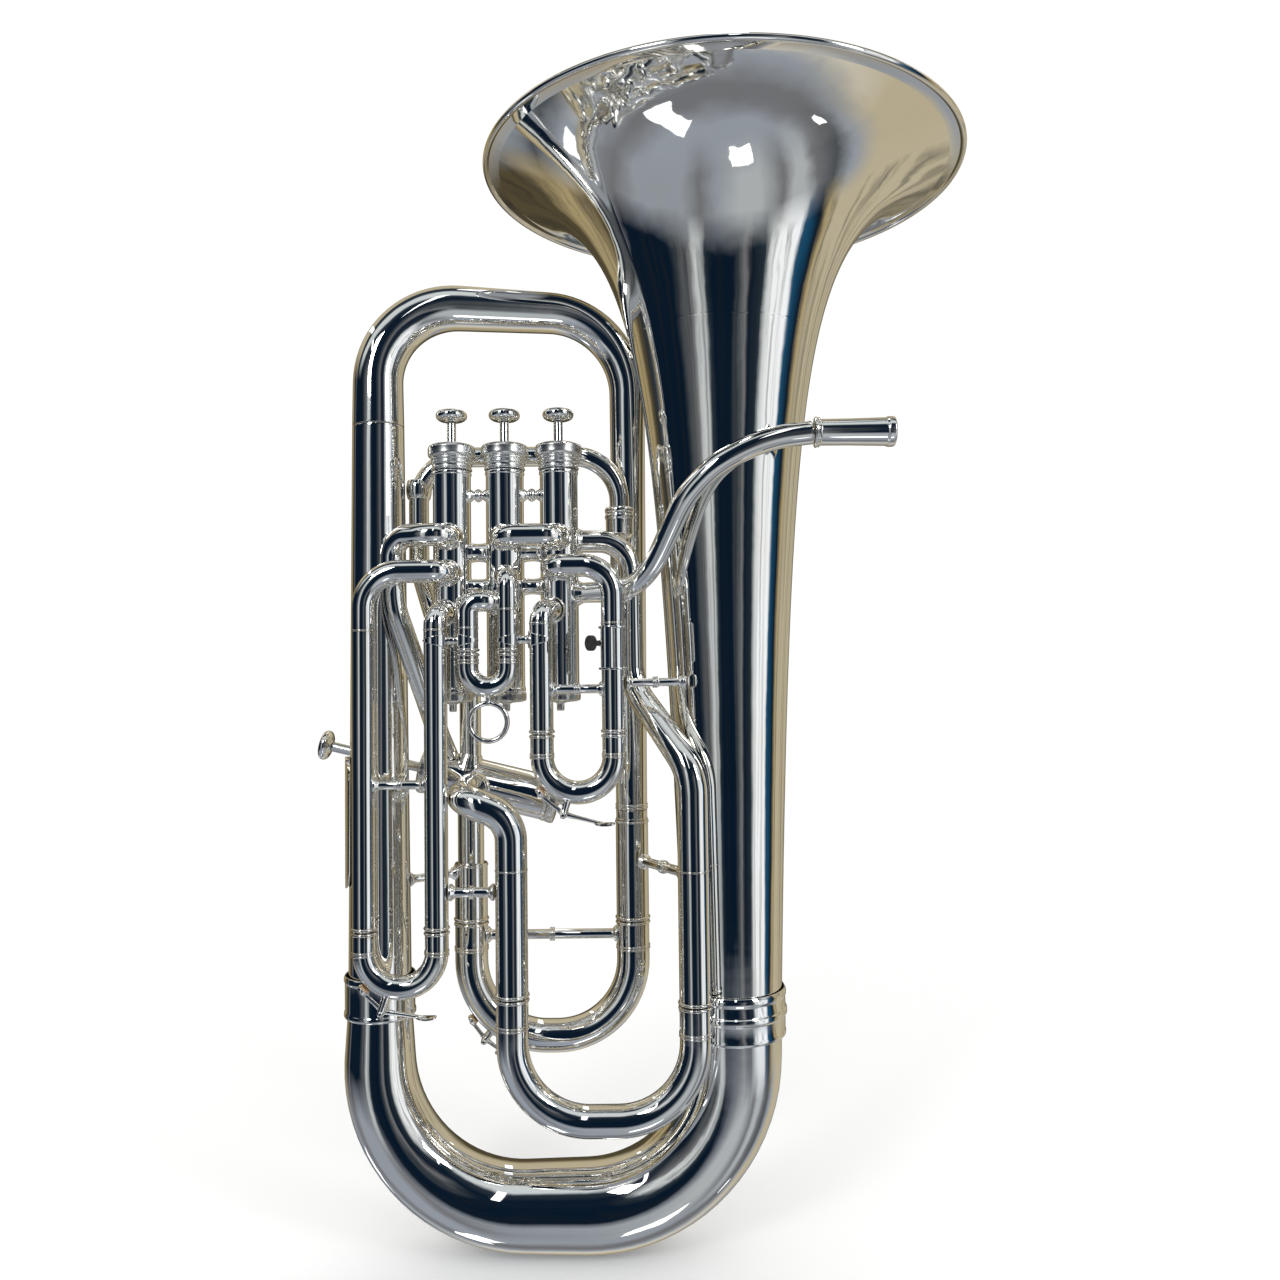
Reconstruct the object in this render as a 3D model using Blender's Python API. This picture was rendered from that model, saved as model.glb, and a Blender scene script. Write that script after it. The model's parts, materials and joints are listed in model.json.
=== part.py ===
"""A four-valve compensating euphonium, bell up, built from separate pieces.

Frame: +X runs from the left branch to the bell, +Y to the back, +Z up along the bell.
The origin is the lowest point of the bottom bow, midway between its two ends.
All sizes below are in millimetres; meshes are written in metres.
"""

import math

import bmesh
import bpy
from mathutils import Matrix, Vector

MM = 0.001

# ---- driving dimensions, millimetres -------------------------------------------------

RIM_RADIUS = 152.4          # 12 inch bell
RIM_Z = 682.1               # height of the rim
BELL_X = 111.0              # axis of the bell
BELL_BOTTOM_Z = 151.0
BELL_SEAM_Z = 571.0         # where the flare is soldered to the tail
BRANCH_X = -111.0           # axis of the left branch
BOW_BOTTOM_Z = 27.2         # centre line of the bottom bow at its lowest
BOW_CORNER = 92.0
SHEET = 0.9                 # wall of every tube
GAP = 0.35                  # clearance between neighbouring pieces

TOP_BOW_Z = 599.0
TOP_BOW_CORNER = 52.0
RIGHT_X = 48.5              # right branch and right leg of the main slide
MAIN_LEFT_X = -58.0
MAIN_TUBE = 10.3            # outer radius of the right branch
MAIN_SLEEVE = 10.7          # outer radius of the main slide and its outer tubes
MAIN_SLIDE_END_Z = 198.0

SLIDE_Y = -38.0             # plane of valve slides 1, 2 and 3
FRONT_Y = -38.5             # plane of valve slide 4
VALVE_Y = -14.0             # plane of the three top valves
CASING_FRONT = VALVE_Y - 12.4
BACK_Y = 30.0               # plane of valve 4 and the main slide
VALVE_X = {1: 5.4, 2: -28.4, 3: -61.6}
VALVE_BASE_Z = 349.0
STROKE = 14.0

VALVE_BORE_TUBE = 7.0       # outer radius of the tubing of valves 1 to 3
WIDE_TUBE = 9.6             # outer radius of the tubing of valve 4

# ---- materials -----------------------------------------------------------------------

SILVER = (0.86, 0.84, 0.79), 1.0, 0.09
STEEL = (0.62, 0.62, 0.60), 1.0, 0.22
BLACK = (0.015, 0.015, 0.017), 0.0, 0.55


def give_material(obj, finish):
    colour, metallic, roughness = finish
    material = bpy.data.materials.new(obj.name + "_finish")
    material.use_nodes = True
    shader = material.node_tree.nodes["Principled BSDF"]
    shader.inputs["Base Color"].default_value = (*colour, 1.0)
    shader.inputs["Metallic"].default_value = metallic
    shader.inputs["Roughness"].default_value = roughness
    obj.data.materials.append(material)


# ---- mesh helpers --------------------------------------------------------------------

def clear_scene():
    for obj in list(bpy.data.objects):
        bpy.data.objects.remove(obj, do_unlink=True)


def finish_object(name, bm, origin=(0, 0, 0), rotation=(0, 0, 0), finish=SILVER):
    """Write a bmesh (millimetres, about its own origin) as a named object in metres."""
    bmesh.ops.recalc_face_normals(bm, faces=bm.faces[:])
    bmesh.ops.scale(bm, vec=(MM, MM, MM), verts=bm.verts[:])
    mesh = bpy.data.meshes.new(name)
    bm.to_mesh(mesh)
    bm.free()
    mesh.shade_smooth()
    mesh.set_sharp_from_angle(angle=math.radians(40))
    obj = bpy.data.objects.new(name, mesh)
    obj.location = Vector(origin) * MM
    obj.rotation_euler = rotation
    bpy.context.collection.objects.link(obj)
    give_material(obj, finish)
    return obj


def round_corners(points, radii=(), step=45.0):
    """A polyline with its corners rounded, as (point, tangent) pairs."""
    points = [Vector(p) for p in points]
    if isinstance(radii, (int, float)):
        radii = [radii] * (len(points) - 2)
    path = [(points[0], (points[1] - points[0]).normalized())]
    for before, corner, after, radius in zip(points, points[1:], points[2:], radii):
        into = (corner - before).normalized()
        out = (after - corner).normalized()
        turn = into.angle(out)
        reach = radius * math.tan(turn / 2)
        start = corner - into * reach
        side = (out - into * into.dot(out)).normalized()
        centre = start + side * radius
        count = max(2, math.ceil(math.degrees(turn) / step))
        for i in range(count + 1):
            angle = turn * i / count
            path.append((centre + (into * math.sin(angle) - side * math.cos(angle)) * radius,
                         into * math.cos(angle) + side * math.sin(angle)))
    path.append((points[-1], (points[-1] - points[-2]).normalized()))
    return path


def smooth_curve(points, per_span=3):
    """(point, tangent) pairs along a Catmull-Rom curve through the given points."""
    points = [Vector(p) for p in points]
    ends = [points[0] * 2 - points[1]] + points + [points[-1] * 2 - points[-2]]
    path = []
    for a, b, c, d in zip(ends, ends[1:], ends[2:], ends[3:]):
        for i in range(per_span):
            t = i / per_span
            path.append(0.5 * (2 * b + (c - a) * t + (2 * a - 5 * b + 4 * c - d) * t * t
                               + (3 * b - a - 3 * c + d) * t ** 3))
    path.append(points[-1])
    after = path[1:] + path[-1:]
    before = path[:1] + path[:-1]
    return [(p, (b - a).normalized()) for p, a, b in zip(path, before, after)]


def path_frames(path):
    """Position, distance, and two cross-section directions at each path point."""
    tangents = [tangent for _, tangent in path]
    side = Vector((0, 1, 0))
    if abs(tangents[0].y) > 0.9:
        side = Vector((0, 0, 1))
    frames = []
    travelled = 0.0
    for i, (point, tangent) in enumerate(path):
        if i:
            travelled += (point - path[i - 1][0]).length
            side = tangents[i - 1].rotation_difference(tangent) @ side
        side = (side - tangent * side.dot(tangent)).normalized()
        frames.append((point, travelled, side, tangent.cross(side)))
    return frames


def frame_at(frames, distance):
    """The frame at a distance along the path, which lies on a straight run."""
    for first, second in zip(frames, frames[1:]):
        if first[1] <= distance <= second[1]:
            share = (distance - first[1]) / (second[1] - first[1])
            return (first[0].lerp(second[0], share), distance, first[2], first[3])
    return frames[-1]


def add_ring(bm, frame, radius, sides):
    point, _, side, up = frame
    ring = []
    for i in range(sides):
        angle = 2 * math.pi * (i + 0.5) / sides
        ring.append(bm.verts.new(point + (side * math.cos(angle) + up * math.sin(angle)) * radius))
    return ring


def bridge(bm, first, second):
    count = len(first)
    for i in range(count):
        j = (i + 1) % count
        bm.faces.new((first[i], first[j], second[j], second[i]))


def tube_mesh(path, radius, wall=SHEET, sides=8, steps=()):
    """A hollow tube along a path.

    radius is the outer radius, or a function of the share of the path covered.
    steps are (distance, outer radius) pairs: from each distance on, the tube has that radius.
    A negative distance is measured from the far end. The bore follows the plain radius.
    """
    frames = path_frames(path)
    total = frames[-1][1]
    plain = radius if callable(radius) else (lambda share: radius)
    steps = [(total + d if d < 0 else d, r) for d, r in steps]
    bm = bmesh.new()

    def outer_at(distance, after):
        value = plain(distance / total)
        for start, step_radius in steps:
            if distance > start + 1e-6 or (after and abs(distance - start) <= 1e-6):
                value = step_radius if step_radius else plain(distance / total)
        return value

    cuts = sorted(set([f[1] for f in frames] + [d for d, _ in steps]))
    edges = [cut for k, cut in enumerate(cuts) if k == 0 or cut - cuts[k - 1] > 1e-4]
    outer = []
    for cut in edges:
        exact = [f for f in frames if abs(f[1] - cut) < 1e-4]
        frame = exact[0] if exact else frame_at(frames, cut)
        radii = [outer_at(cut, False), outer_at(cut, True)]
        if cut <= 1e-6:
            radii = radii[1:]
        elif abs(radii[0] - radii[1]) < 1e-6 or cut >= total - 1e-6:
            radii = radii[:1]
        outer += [add_ring(bm, frame, r, sides) for r in radii]
    inner = [add_ring(bm, f, plain(f[1] / total) - wall, sides) for f in frames]
    for rings in (outer, inner):
        for first, second in zip(rings, rings[1:]):
            bridge(bm, first, second)
    bridge(bm, outer[0], inner[0])
    bridge(bm, outer[-1], inner[-1])
    return bm


def lathe_mesh(profile, sides=16, closed=False):
    """Turn (radius, height) points about Z; a closed profile makes a hollow ring."""
    bm = bmesh.new()
    rings = []
    for radius, height in profile:
        if radius < 1e-6:
            rings.append([bm.verts.new((0, 0, height))])
            continue
        ring = []
        for i in range(sides):
            angle = 2 * math.pi * (i + 0.5) / sides
            ring.append(bm.verts.new((radius * math.cos(angle), radius * math.sin(angle), height)))
        rings.append(ring)
    pairs = list(zip(rings, rings[1:]))
    if closed:
        pairs.append((rings[-1], rings[0]))
    for first, second in pairs:
        if len(first) == 1 or len(second) == 1:
            tip, ring = (first, second) if len(first) == 1 else (second, first)
            for i in range(sides):
                bm.faces.new((tip[0], ring[i], ring[(i + 1) % sides]))
        else:
            bridge(bm, first, second)
    return bm


def tube(name, path, radius, **options):
    return finish_object(name, tube_mesh(path, radius, **options))


def rod_mesh(start, end, radius, sides=8, collar=None):
    """A solid rod with an optional collar at its middle."""
    start, end = Vector(start), Vector(end)
    frames = path_frames(round_corners([start, end]))
    length = frames[-1][1]
    stations = [(0.0, radius), (length, radius)]
    if collar:
        half = 1.4
        stations[1:1] = [(length / 2 - half, radius), (length / 2 - half, collar),
                         (length / 2 + half, collar), (length / 2 + half, radius)]
    bm = bmesh.new()
    rings = [add_ring(bm, frame_at(frames, d), r, sides) for d, r in stations]
    for first, second in zip(rings, rings[1:]):
        bridge(bm, first, second)
    bm.faces.new(rings[0])
    bm.faces.new(rings[-1])
    return bm


def join_meshes(name, meshes, origin=(0, 0, 0), rotation=(0, 0, 0), finish=SILVER,
                operation="UNION"):
    """Combine the later meshes with the first one through exact booleans."""
    base = finish_object(name, meshes[0], origin, rotation, finish)
    for number, other in enumerate(meshes[1:]):
        tool = finish_object(f"{name}_tool{number}", other, origin, rotation, finish)
        bpy.context.view_layer.update()
        cut = base.modifiers.new("join", "BOOLEAN")
        cut.operation = operation
        cut.object = tool
        depsgraph = bpy.context.evaluated_depsgraph_get()
        joined = bpy.data.meshes.new_from_object(base.evaluated_get(depsgraph))
        base.modifiers.clear()
        base.data = joined
        bpy.data.objects.remove(tool, do_unlink=True)
    base.data.materials.clear()
    give_material(base, finish)
    return base


# ---- bell and body tubes -------------------------------------------------------------

def bell_radius(z):
    """Outer radius of the bell: a slow cone and a horn flare towards the rim."""
    depth = RIM_Z - z
    flare = 38.4
    return 20.7 + 0.01 * (z - BELL_BOTTOM_Z) + 126.4 * (flare / (depth + flare)) ** 0.94


def bell_section(name, heights, bead=()):
    """A length of the bell between the first and last height, with the rolled rim if it has one."""
    outside = [(bell_radius(z), z) for z in heights]
    inside = [(bell_radius(z) - SHEET, z) for z in reversed(heights)]
    profile = outside + list(bead) + inside
    finish_object(name, lathe_mesh(profile, sides=24, closed=True), (BELL_X, 0, 0))


def build_bell():
    bell_section("bell_tail", [BELL_BOTTOM_Z, 330, 440, 520, BELL_SEAM_Z - GAP])
    bead = [(RIM_RADIUS - 3.6, RIM_Z - 3.0), (RIM_RADIUS - 1.2, RIM_Z - 3.4),
            (RIM_RADIUS + 0.4, RIM_Z - 2.2), (RIM_RADIUS, RIM_Z), (RIM_RADIUS - 3.0, RIM_Z),
            (RIM_RADIUS - 5.2, RIM_Z - 1.4)]
    bell_section("bell", [BELL_SEAM_Z, 598, 622, 642, 659, 671, 678.6], bead)


def build_body():
    bow = round_corners([(BRANCH_X, 0, 158), (BRANCH_X, 0, BOW_BOTTOM_Z), (BELL_X, 0, BOW_BOTTOM_Z),
                         (BELL_X, 0, BELL_BOTTOM_Z - GAP)], BOW_CORNER, step=30.0)
    tube("bottom_bow", bow, lambda share: 19.6 + 11.4 * max(0.0, share - 0.03) ** 0.6, sides=14, wall=1.0)

    ferrule = [(32.0, 134), (33.0, 134), (33.0, 146), (34.0, 147.5), (34.0, 150.0), (33.2, 151),
               (33.0, 159), (32.6, 163), (32.0, 163)]
    finish_object("bell_ferrule", lathe_mesh(ferrule, sides=24, closed=True), (BELL_X, 0, 0))
    ferrule = [(20.8, 147), (21.7, 147), (22.1, 149), (21.7, 151), (21.7, 169), (22.1, 171),
               (21.7, 173), (20.8, 173)]
    finish_object("bow_ferrule", lathe_mesh(ferrule, sides=14, closed=True), (BRANCH_X, 0, 0))

    tube("left_branch", round_corners([(BRANCH_X, 0, 158 + GAP), (BRANCH_X, 0, 519)]),
         lambda share: 19.5 - 3.2 * share, sides=16)
    top = round_corners([(BRANCH_X, 0, 519 + GAP), (BRANCH_X, 0, TOP_BOW_Z),
                         (RIGHT_X, BACK_Y, TOP_BOW_Z), (RIGHT_X, BACK_Y, 270)],
                        TOP_BOW_CORNER, step=30.0)
    tube("top_bow", top, lambda share: max(MAIN_TUBE, 16.3 - 9.5 * share), sides=12)

    guard = bmesh.new()
    levels = [guard_ring(guard, z) for z in (227, 309)]
    bridge(guard, levels[0], levels[1])
    guard.faces.new(levels[0])
    guard.faces.new(levels[1])
    finish_object("hand_guard", guard, (BRANCH_X, 0, 0))


def guard_ring(bm, z):
    """Outline of the curved guard plate around the outer side of the left branch."""
    inner_radius, outer_radius = 20.0, 21.2
    angles = [math.radians(180 + a) for a in range(-40, 41, 20)]
    outline = [(outer_radius, a) for a in angles] + [(inner_radius, a) for a in reversed(angles)]
    return [bm.verts.new((r * math.cos(a), r * math.sin(a), z)) for r, a in outline]


# ---- main tuning slide ---------------------------------------------------------------

def slide_mesh(left, right, y, start_left, start_right, bottom, radius, corner, inserted,
               band, sides=8):
    """A U-shaped slide: bow, sleeves with a ring, and two thinner legs that run upward.

    start_left and start_right are the heights where its sleeves meet the fixed tubes.
    """
    leg = radius - SHEET - GAP
    path = round_corners([(left, y, start_left + inserted), (left, y, bottom), (right, y, bottom),
                          (right, y, start_right + inserted)], corner, step=36.0)
    ring = radius + 0.8
    steps = [(0.0, leg), (inserted + GAP, ring), (inserted + GAP + 1.6, radius),
             (inserted + band - 1.6, ring), (inserted + band, radius),
             (-inserted - band, ring), (-inserted - band + 1.6, radius),
             (-inserted - GAP - 1.6, ring), (-inserted - GAP, leg)]
    return tube_mesh(path, leg, sides=sides, steps=steps)


def outer_tube_profile(top, bore_top, sleeve_top):
    """Profile of a straight outer tube of the main slide, narrower above sleeve_top."""
    bore = MAIN_SLEEVE - SHEET
    low, lip = MAIN_SLIDE_END_Z, MAIN_SLEEVE + 0.8
    return [(bore_top, top), (bore_top + SHEET, top), (bore_top + SHEET, sleeve_top + 2),
            (MAIN_SLEEVE, sleeve_top), (MAIN_SLEEVE, low + 2.4), (lip, low + 2.4), (lip, low),
            (bore, low), (bore, sleeve_top), (bore_top, sleeve_top + 2)]


def build_main_slide():
    right = outer_tube_profile(270 - GAP, MAIN_TUBE - SHEET, 262)
    left = outer_tube_profile(272, 7.7, 236)
    finish_object("main_receiver_right", lathe_mesh(right, 12, closed=True), (RIGHT_X, BACK_Y, 0))
    finish_object("main_receiver_left", lathe_mesh(left, 12, closed=True), (MAIN_LEFT_X, BACK_Y, 0))
    end = MAIN_SLIDE_END_Z
    bow = slide_mesh(MAIN_LEFT_X, RIGHT_X, BACK_Y, end, end, 122.5, MAIN_SLEEVE, 50.0, 36.0, 18.5,
                     sides=12)
    inset = MAIN_SLEEVE - 0.6
    brace = rod_mesh((MAIN_LEFT_X + inset, BACK_Y, 188.5), (RIGHT_X - inset, BACK_Y, 188.5), 3.2,
                     collar=4.4)
    join_meshes("main_tuning_slide", [bow, brace])


# ---- valves --------------------------------------------------------------------------

def build_valve(number, base, rotation, casing_radius, cap_radius, length, cap_height, stem,
                button_lift):
    """Casing, caps, piston, button and spring about one axis; local +Z points to the button."""
    bore = casing_radius - 1.0
    common = {"origin": base, "rotation": rotation}

    def turned(name, profile, sides=12, closed=False, finish=SILVER):
        finish_object(f"{name}_{number}", lathe_mesh(profile, sides, closed), finish=finish, **common)

    turned("valve_casing", [(bore, 0), (casing_radius, 0), (casing_radius, length), (bore, length)],
           sides=16, closed=True)
    lip = casing_radius + 0.4
    cap_top = length + cap_height
    hole = stem + 0.5
    turned("top_cap", [(hole, length + GAP), (lip + 0.6, length + GAP), (lip + 0.6, length + 4),
                       (lip, length + 5), (lip, cap_top - 7), (cap_radius, cap_top - 5.5),
                       (cap_radius, cap_top - 1.2), (cap_radius - 1.2, cap_top),
                       (hole, cap_top)], closed=True)
    turned("bottom_cap", [(0, -7), (casing_radius - 2, -7), (casing_radius + 0.8, -5.5),
                          (casing_radius + 0.8, -GAP), (0, -GAP)])
    piston_bottom = length * 0.36
    piston_top = length - STROKE * 0.2
    button_base = cap_top + button_lift
    body = lathe_mesh([(0, piston_bottom), (bore - 0.5, piston_bottom), (bore - 0.5, piston_top),
                       (stem, piston_top), (stem, button_base - GAP), (0, button_base - GAP)], 12)
    ports = [rod_mesh((-bore * 2, 0, z), (bore * 2, 0, z), 5.0, sides=6) for z in
             (piston_bottom + 14, piston_bottom + 34)]
    join_meshes(f"piston_{number}", [body] + ports, base, rotation, STEEL, "DIFFERENCE")
    turned("finger_button", [(0, button_base), (3.6, button_base), (8.6, button_base + 2.2),
                             (9.8, button_base + 4.0), (9.4, button_base + 5.6),
                             (7.2, button_base + 6.2), (0, button_base + 5.6)])
    coil = []
    turns = 5
    per_turn = 7
    spring_low, spring_high = 1.5, piston_bottom - 1.5
    for i in range(turns * per_turn + 1):
        angle = 2 * math.pi * i / per_turn
        height = spring_low + (spring_high - spring_low) * i / (turns * per_turn)
        coil.append(Vector(((bore - 3) * math.cos(angle), (bore - 3) * math.sin(angle), height)))
    wire = bmesh.new()
    rings = [add_ring(wire, frame, 0.8, 4) for frame in path_frames(smooth_curve(coil, 1))]
    for first, second in zip(rings, rings[1:]):
        bridge(wire, first, second)
    wire.faces.new(rings[0])
    wire.faces.new(rings[-1])
    finish_object(f"valve_spring_{number}", wire, finish=STEEL, **common)


# ---- valve slides --------------------------------------------------------------------

def receiver_mesh(path, radius, mouth=None, sides=8):
    """A branch that ends in the outer tube of a slide, with a ring on its mouth.

    It is swept from the mouth upward, so that its facets line up with those of the slide.
    """
    upward = [(point, -tangent) for point, tangent in reversed(path)]
    mouth = mouth or radius
    return tube_mesh(upward, radius, sides=sides, steps=[(0.0, mouth + 0.8), (2.2, None)])


def build_slide_1():
    left, right, end = -4.2, 39.0, 324.0
    x = VALVE_X[1]
    left_leg = round_corners([(x - 4, CASING_FRONT, 399), (left, SLIDE_Y, 399), (left, SLIDE_Y, end)],
                             [9.0])
    right_leg = round_corners([(x - 3, CASING_FRONT, 425), (x - 3, SLIDE_Y, 425), (right, SLIDE_Y, 425),
                               (right, SLIDE_Y, end)], [8.0, 18.0])
    brace = rod_mesh((left + 6.05, SLIDE_Y, 350.5), (right - 6.05, SLIDE_Y, 350.5), 2.7, collar=3.6)
    join_meshes("slide_1_receiver", [receiver_mesh(left_leg, VALVE_BORE_TUBE),
                                     receiver_mesh(right_leg, VALVE_BORE_TUBE), brace])
    bow = slide_mesh(left, right, SLIDE_Y, end, end, 288.5, VALVE_BORE_TUBE, 21.6, 50.0, 14.0)
    finish_object("valve_slide_1", bow)


def build_slide_2():
    left, right, end = -48.4, -24.3, 373.5
    x = VALVE_X[2]
    tube_radius = 6.3
    left_leg = round_corners([(x - 9.2, CASING_FRONT, 404), (left, SLIDE_Y, 404),
                              (left, SLIDE_Y, end)], [7.0])
    right_leg = round_corners([(x + 2, CASING_FRONT, 419.5), (right, SLIDE_Y, 419.5),
                               (right, SLIDE_Y, end)], [8.0])
    finish_object("slide_2_receiver_left", receiver_mesh(left_leg, tube_radius))
    finish_object("slide_2_receiver_right", receiver_mesh(right_leg, tube_radius))
    bow = slide_mesh(left, right, SLIDE_Y, end, end, 352.3, tube_radius, 11.8, 22.0, 6.5)
    finish_object("valve_slide_2", bow)
    section = [(11.4 + 1.5 * math.cos(a), 1.5 * math.sin(a)) for a in
               (2 * math.pi * i / 6 for i in range(6))]
    finish_object("pull_ring", lathe_mesh(section, 16, closed=True),
                  ((left + right) / 2, SLIDE_Y, 331.2), (math.radians(90), 0, 0))


def build_slide_3():
    left, right, end = -111.2, -67.9, 208.0
    x = VALVE_X[3]
    left_leg = round_corners([(x - 1, CASING_FRONT, 422.5), (x - 1, SLIDE_Y, 422.5),
                              (left, SLIDE_Y, 422.5), (left, SLIDE_Y, end)], [8.0, 22.0])
    right_leg = round_corners([(x - 3, CASING_FRONT, 398), (right, SLIDE_Y, 398),
                               (right, SLIDE_Y, end)], [9.0])
    brace = rod_mesh((left + 6.05, SLIDE_Y, 294.3), (right - 6.05, SLIDE_Y, 294.3), 2.7, collar=3.6)
    join_meshes("slide_3_receiver", [receiver_mesh(left_leg, VALVE_BORE_TUBE),
                                     receiver_mesh(right_leg, VALVE_BORE_TUBE), brace])
    bow = slide_mesh(left, right, SLIDE_Y, end, end, 174.0, VALVE_BORE_TUBE, 21.3, 90.0, 14.0)
    finish_object("valve_slide_3", bow)


def build_slide_4():
    left, right = -23.2, 85.8
    end_left, end_right = 168.0, 162.5
    left_leg = round_corners([(-54, 14.4, 286), (-54, FRONT_Y, 286), (left, FRONT_Y, 274),
                              (left, FRONT_Y, end_left)], [14.0, 20.0])
    finish_object("slide_4_receiver_left", receiver_mesh(left_leg, WIDE_TUBE, sides=10))
    x = VALVE_X[1]
    return_tube = round_corners([(x + 12.6, -9.0, 443), (50, -6, 443), (50, -5, 352),
                                 (85.8, FRONT_Y, 300), (right, FRONT_Y, end_right)],
                                [20.0, 34.0, 34.0])
    widen = WIDE_TUBE - VALVE_BORE_TUBE

    def radius(share):
        return WIDE_TUBE - widen * min(1.0, max(0.0, (share - 0.42) * 3.0))

    finish_object("slide_4_receiver_right", receiver_mesh(return_tube, radius, WIDE_TUBE, sides=10))
    bow = slide_mesh(left, right, FRONT_Y, end_left, end_right, 94.5, WIDE_TUBE, 46.0, 60.0, 18.0,
                     sides=10)
    finish_object("valve_slide_4", bow)


# ---- leadpipe and linking tubes ------------------------------------------------------

def build_tubes():
    lead = smooth_curve([(157.5, -58, 499.5), (138.6, -58, 497), (120.9, -58, 491.3),
                         (103.2, -57, 482), (91.3, -54, 472.1), (81.5, -50, 460),
                         (72.7, -41, 442.4), (64.8, -33, 427.1), (55.5, -26, 416.5),
                         (44.3, -20.6, 411.5), (18.0, -15.0, 410)], per_span=1)
    tube("leadpipe", lead, lambda share: 6.9 - 0.6 * share, sides=10)
    receiver = [(6.3, 0), (8.2, 0), (9.2, 0.6), (9.2, 2.2), (7.6, 3.0), (7.9, 20), (8.6, 47.4),
                (7.2, 47.4), (6.6, 10)]
    finish_object("mouthpiece_receiver", lathe_mesh(receiver, 12, closed=True),
                  (157.5 + 1.2, -58, 499.5), (0, math.radians(90), 0))
    cross = round_corners([(VALVE_X[2], CASING_FRONT, 444), (VALVE_X[2], -35.5, 444),
                           (VALVE_X[1], -35.5, 444), (VALVE_X[1], CASING_FRONT, 444)], 8.6)
    tube("crossover_2_1", cross, VALVE_BORE_TUBE)
    link = round_corners([(VALVE_X[3], CASING_FRONT, 445), (VALVE_X[3], -35.5, 445), (-75, -35.5, 445),
                          (-98, -22.5, 446), (-96, -22.5, 402), (-80, -4, 345), (-80, 12, 314)],
                         [8.6, 16.0, 14.0, 40.0, 30.0])
    tube("crossover_3_4", link, VALVE_BORE_TUBE)
    feed = round_corners([(VALVE_X[3] + 4.6, VALVE_Y + 12.4, 360), (VALVE_X[3] + 4.6, 24, 360),
                          (VALVE_X[3] + 4.6, 24, 310.5)], 11.0)
    tube("valve_4_feed", feed, VALVE_BORE_TUBE)
    arch = round_corners([(-67.0, 0.2, 380), (-73.0, 9, 382), (-87.0, 9, 430), (-87.0, 9, 501),
                          (43.0, 9, 501), (43.0, 9, 412), (9.0, 9, 412), (9.0, -0.6, 412)],
                         [7.5, 30.0, 30.0, 30.0, 12.0, 7.0])
    tube("compensating_arch", arch, 6.4)


# ---- braces, lyre socket, water keys -------------------------------------------------

def build_braces():
    rod = rod_mesh((46.5, SLIDE_Y, 354), (82.0, -30.5, 354), 2.5, collar=3.4)
    finish_object("bell_brace", rod)
    rod = rod_mesh((-60.2, SLIDE_Y, 230), (-33.4, FRONT_Y, 230), 3.0, collar=4.0)
    finish_object("slide_3_4_brace", rod)
    rod = rod_mesh((56.0, 14.8, 238), (80.5, -26.4, 238), 3.0, collar=4.0)
    finish_object("main_4_brace", rod)


def build_lyre_socket():
    bm = bmesh.new()
    bmesh.ops.create_cube(bm, size=1.0, matrix=Matrix.Diagonal((8.4, 7.2, 24.0, 1.0)))
    hole = bmesh.new()
    bmesh.ops.create_cube(hole, size=1.0, matrix=Matrix.Diagonal((5.8, 4.8, 40.0, 1.0)))
    join_meshes("lyre_socket", [bm, hole], (36.2, -49.1, 375), operation="DIFFERENCE")
    screw = lathe_mesh([(0, 0), (1.6, 0), (1.6, 3.4), (4.6, 3.4), (4.6, 7.4), (0, 7.4)], 14)
    aim = Vector((-0.85, -0.53, 0)).to_track_quat("Z", "Y").to_euler()
    finish_object("lyre_screw", screw, (31.0, -50.0, 377.5), aim, BLACK)


def build_water_key(name, hinge, cup, plate, bow_centre):
    """A lever that turns on a pin, with a cork cup that meets the bow and a finger plate.

    cup and plate are (x, z) offsets from the hinge, bow_centre the middle of the bow's curve.
    """
    hinge = Vector(hinge)
    cup_place = Vector((cup[0], 0, cup[1]))
    plate_place = Vector((plate[0], 0, plate[1]))
    inward = Vector((bow_centre[0], hinge.y, bow_centre[1])) - hinge - cup_place
    aim = inward.to_track_quat("Z", "Y").to_matrix().to_4x4()
    cup_mesh = lathe_mesh([(0, -1.6), (3.4, -1.6), (3.4, 1.6), (0, 1.6)], 10)
    bmesh.ops.transform(cup_mesh, matrix=Matrix.Translation(cup_place) @ aim, verts=cup_mesh.verts[:])
    plate_mesh = bmesh.new()
    bmesh.ops.create_cube(plate_mesh, size=1.0, matrix=Matrix.Translation(plate_place)
                          @ Matrix.Diagonal((11.0, 6.5, 1.6, 1.0)))
    pin = rod_mesh((0, -4.0, 0), (0, 4.0, 0), 2.0, sides=8)
    arm = rod_mesh((0, 0, 0), cup_place, 1.3, sides=6)
    lever = rod_mesh((0, 0, 0), plate_place, 1.3, sides=6)
    join_meshes(name, [pin, arm, lever, cup_mesh, plate_mesh], hinge)


def build_water_keys():
    build_water_key("water_key_1", (8.5, SLIDE_Y, 275.8), (-14.0, 13.2), (24.5, -6.5), (16.9, 310.5))
    build_water_key("water_key_3", (-100.4, SLIDE_Y, 160.5), (-11.4, 12.6), (26.0, -4.5),
                    (-89.6, 195.3))
    build_water_key("water_key_main", (-49.5, BACK_Y, 120.6), (-8.0, 12.6), (12.5, -9.5),
                    (-8.0, 172.5))


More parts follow.
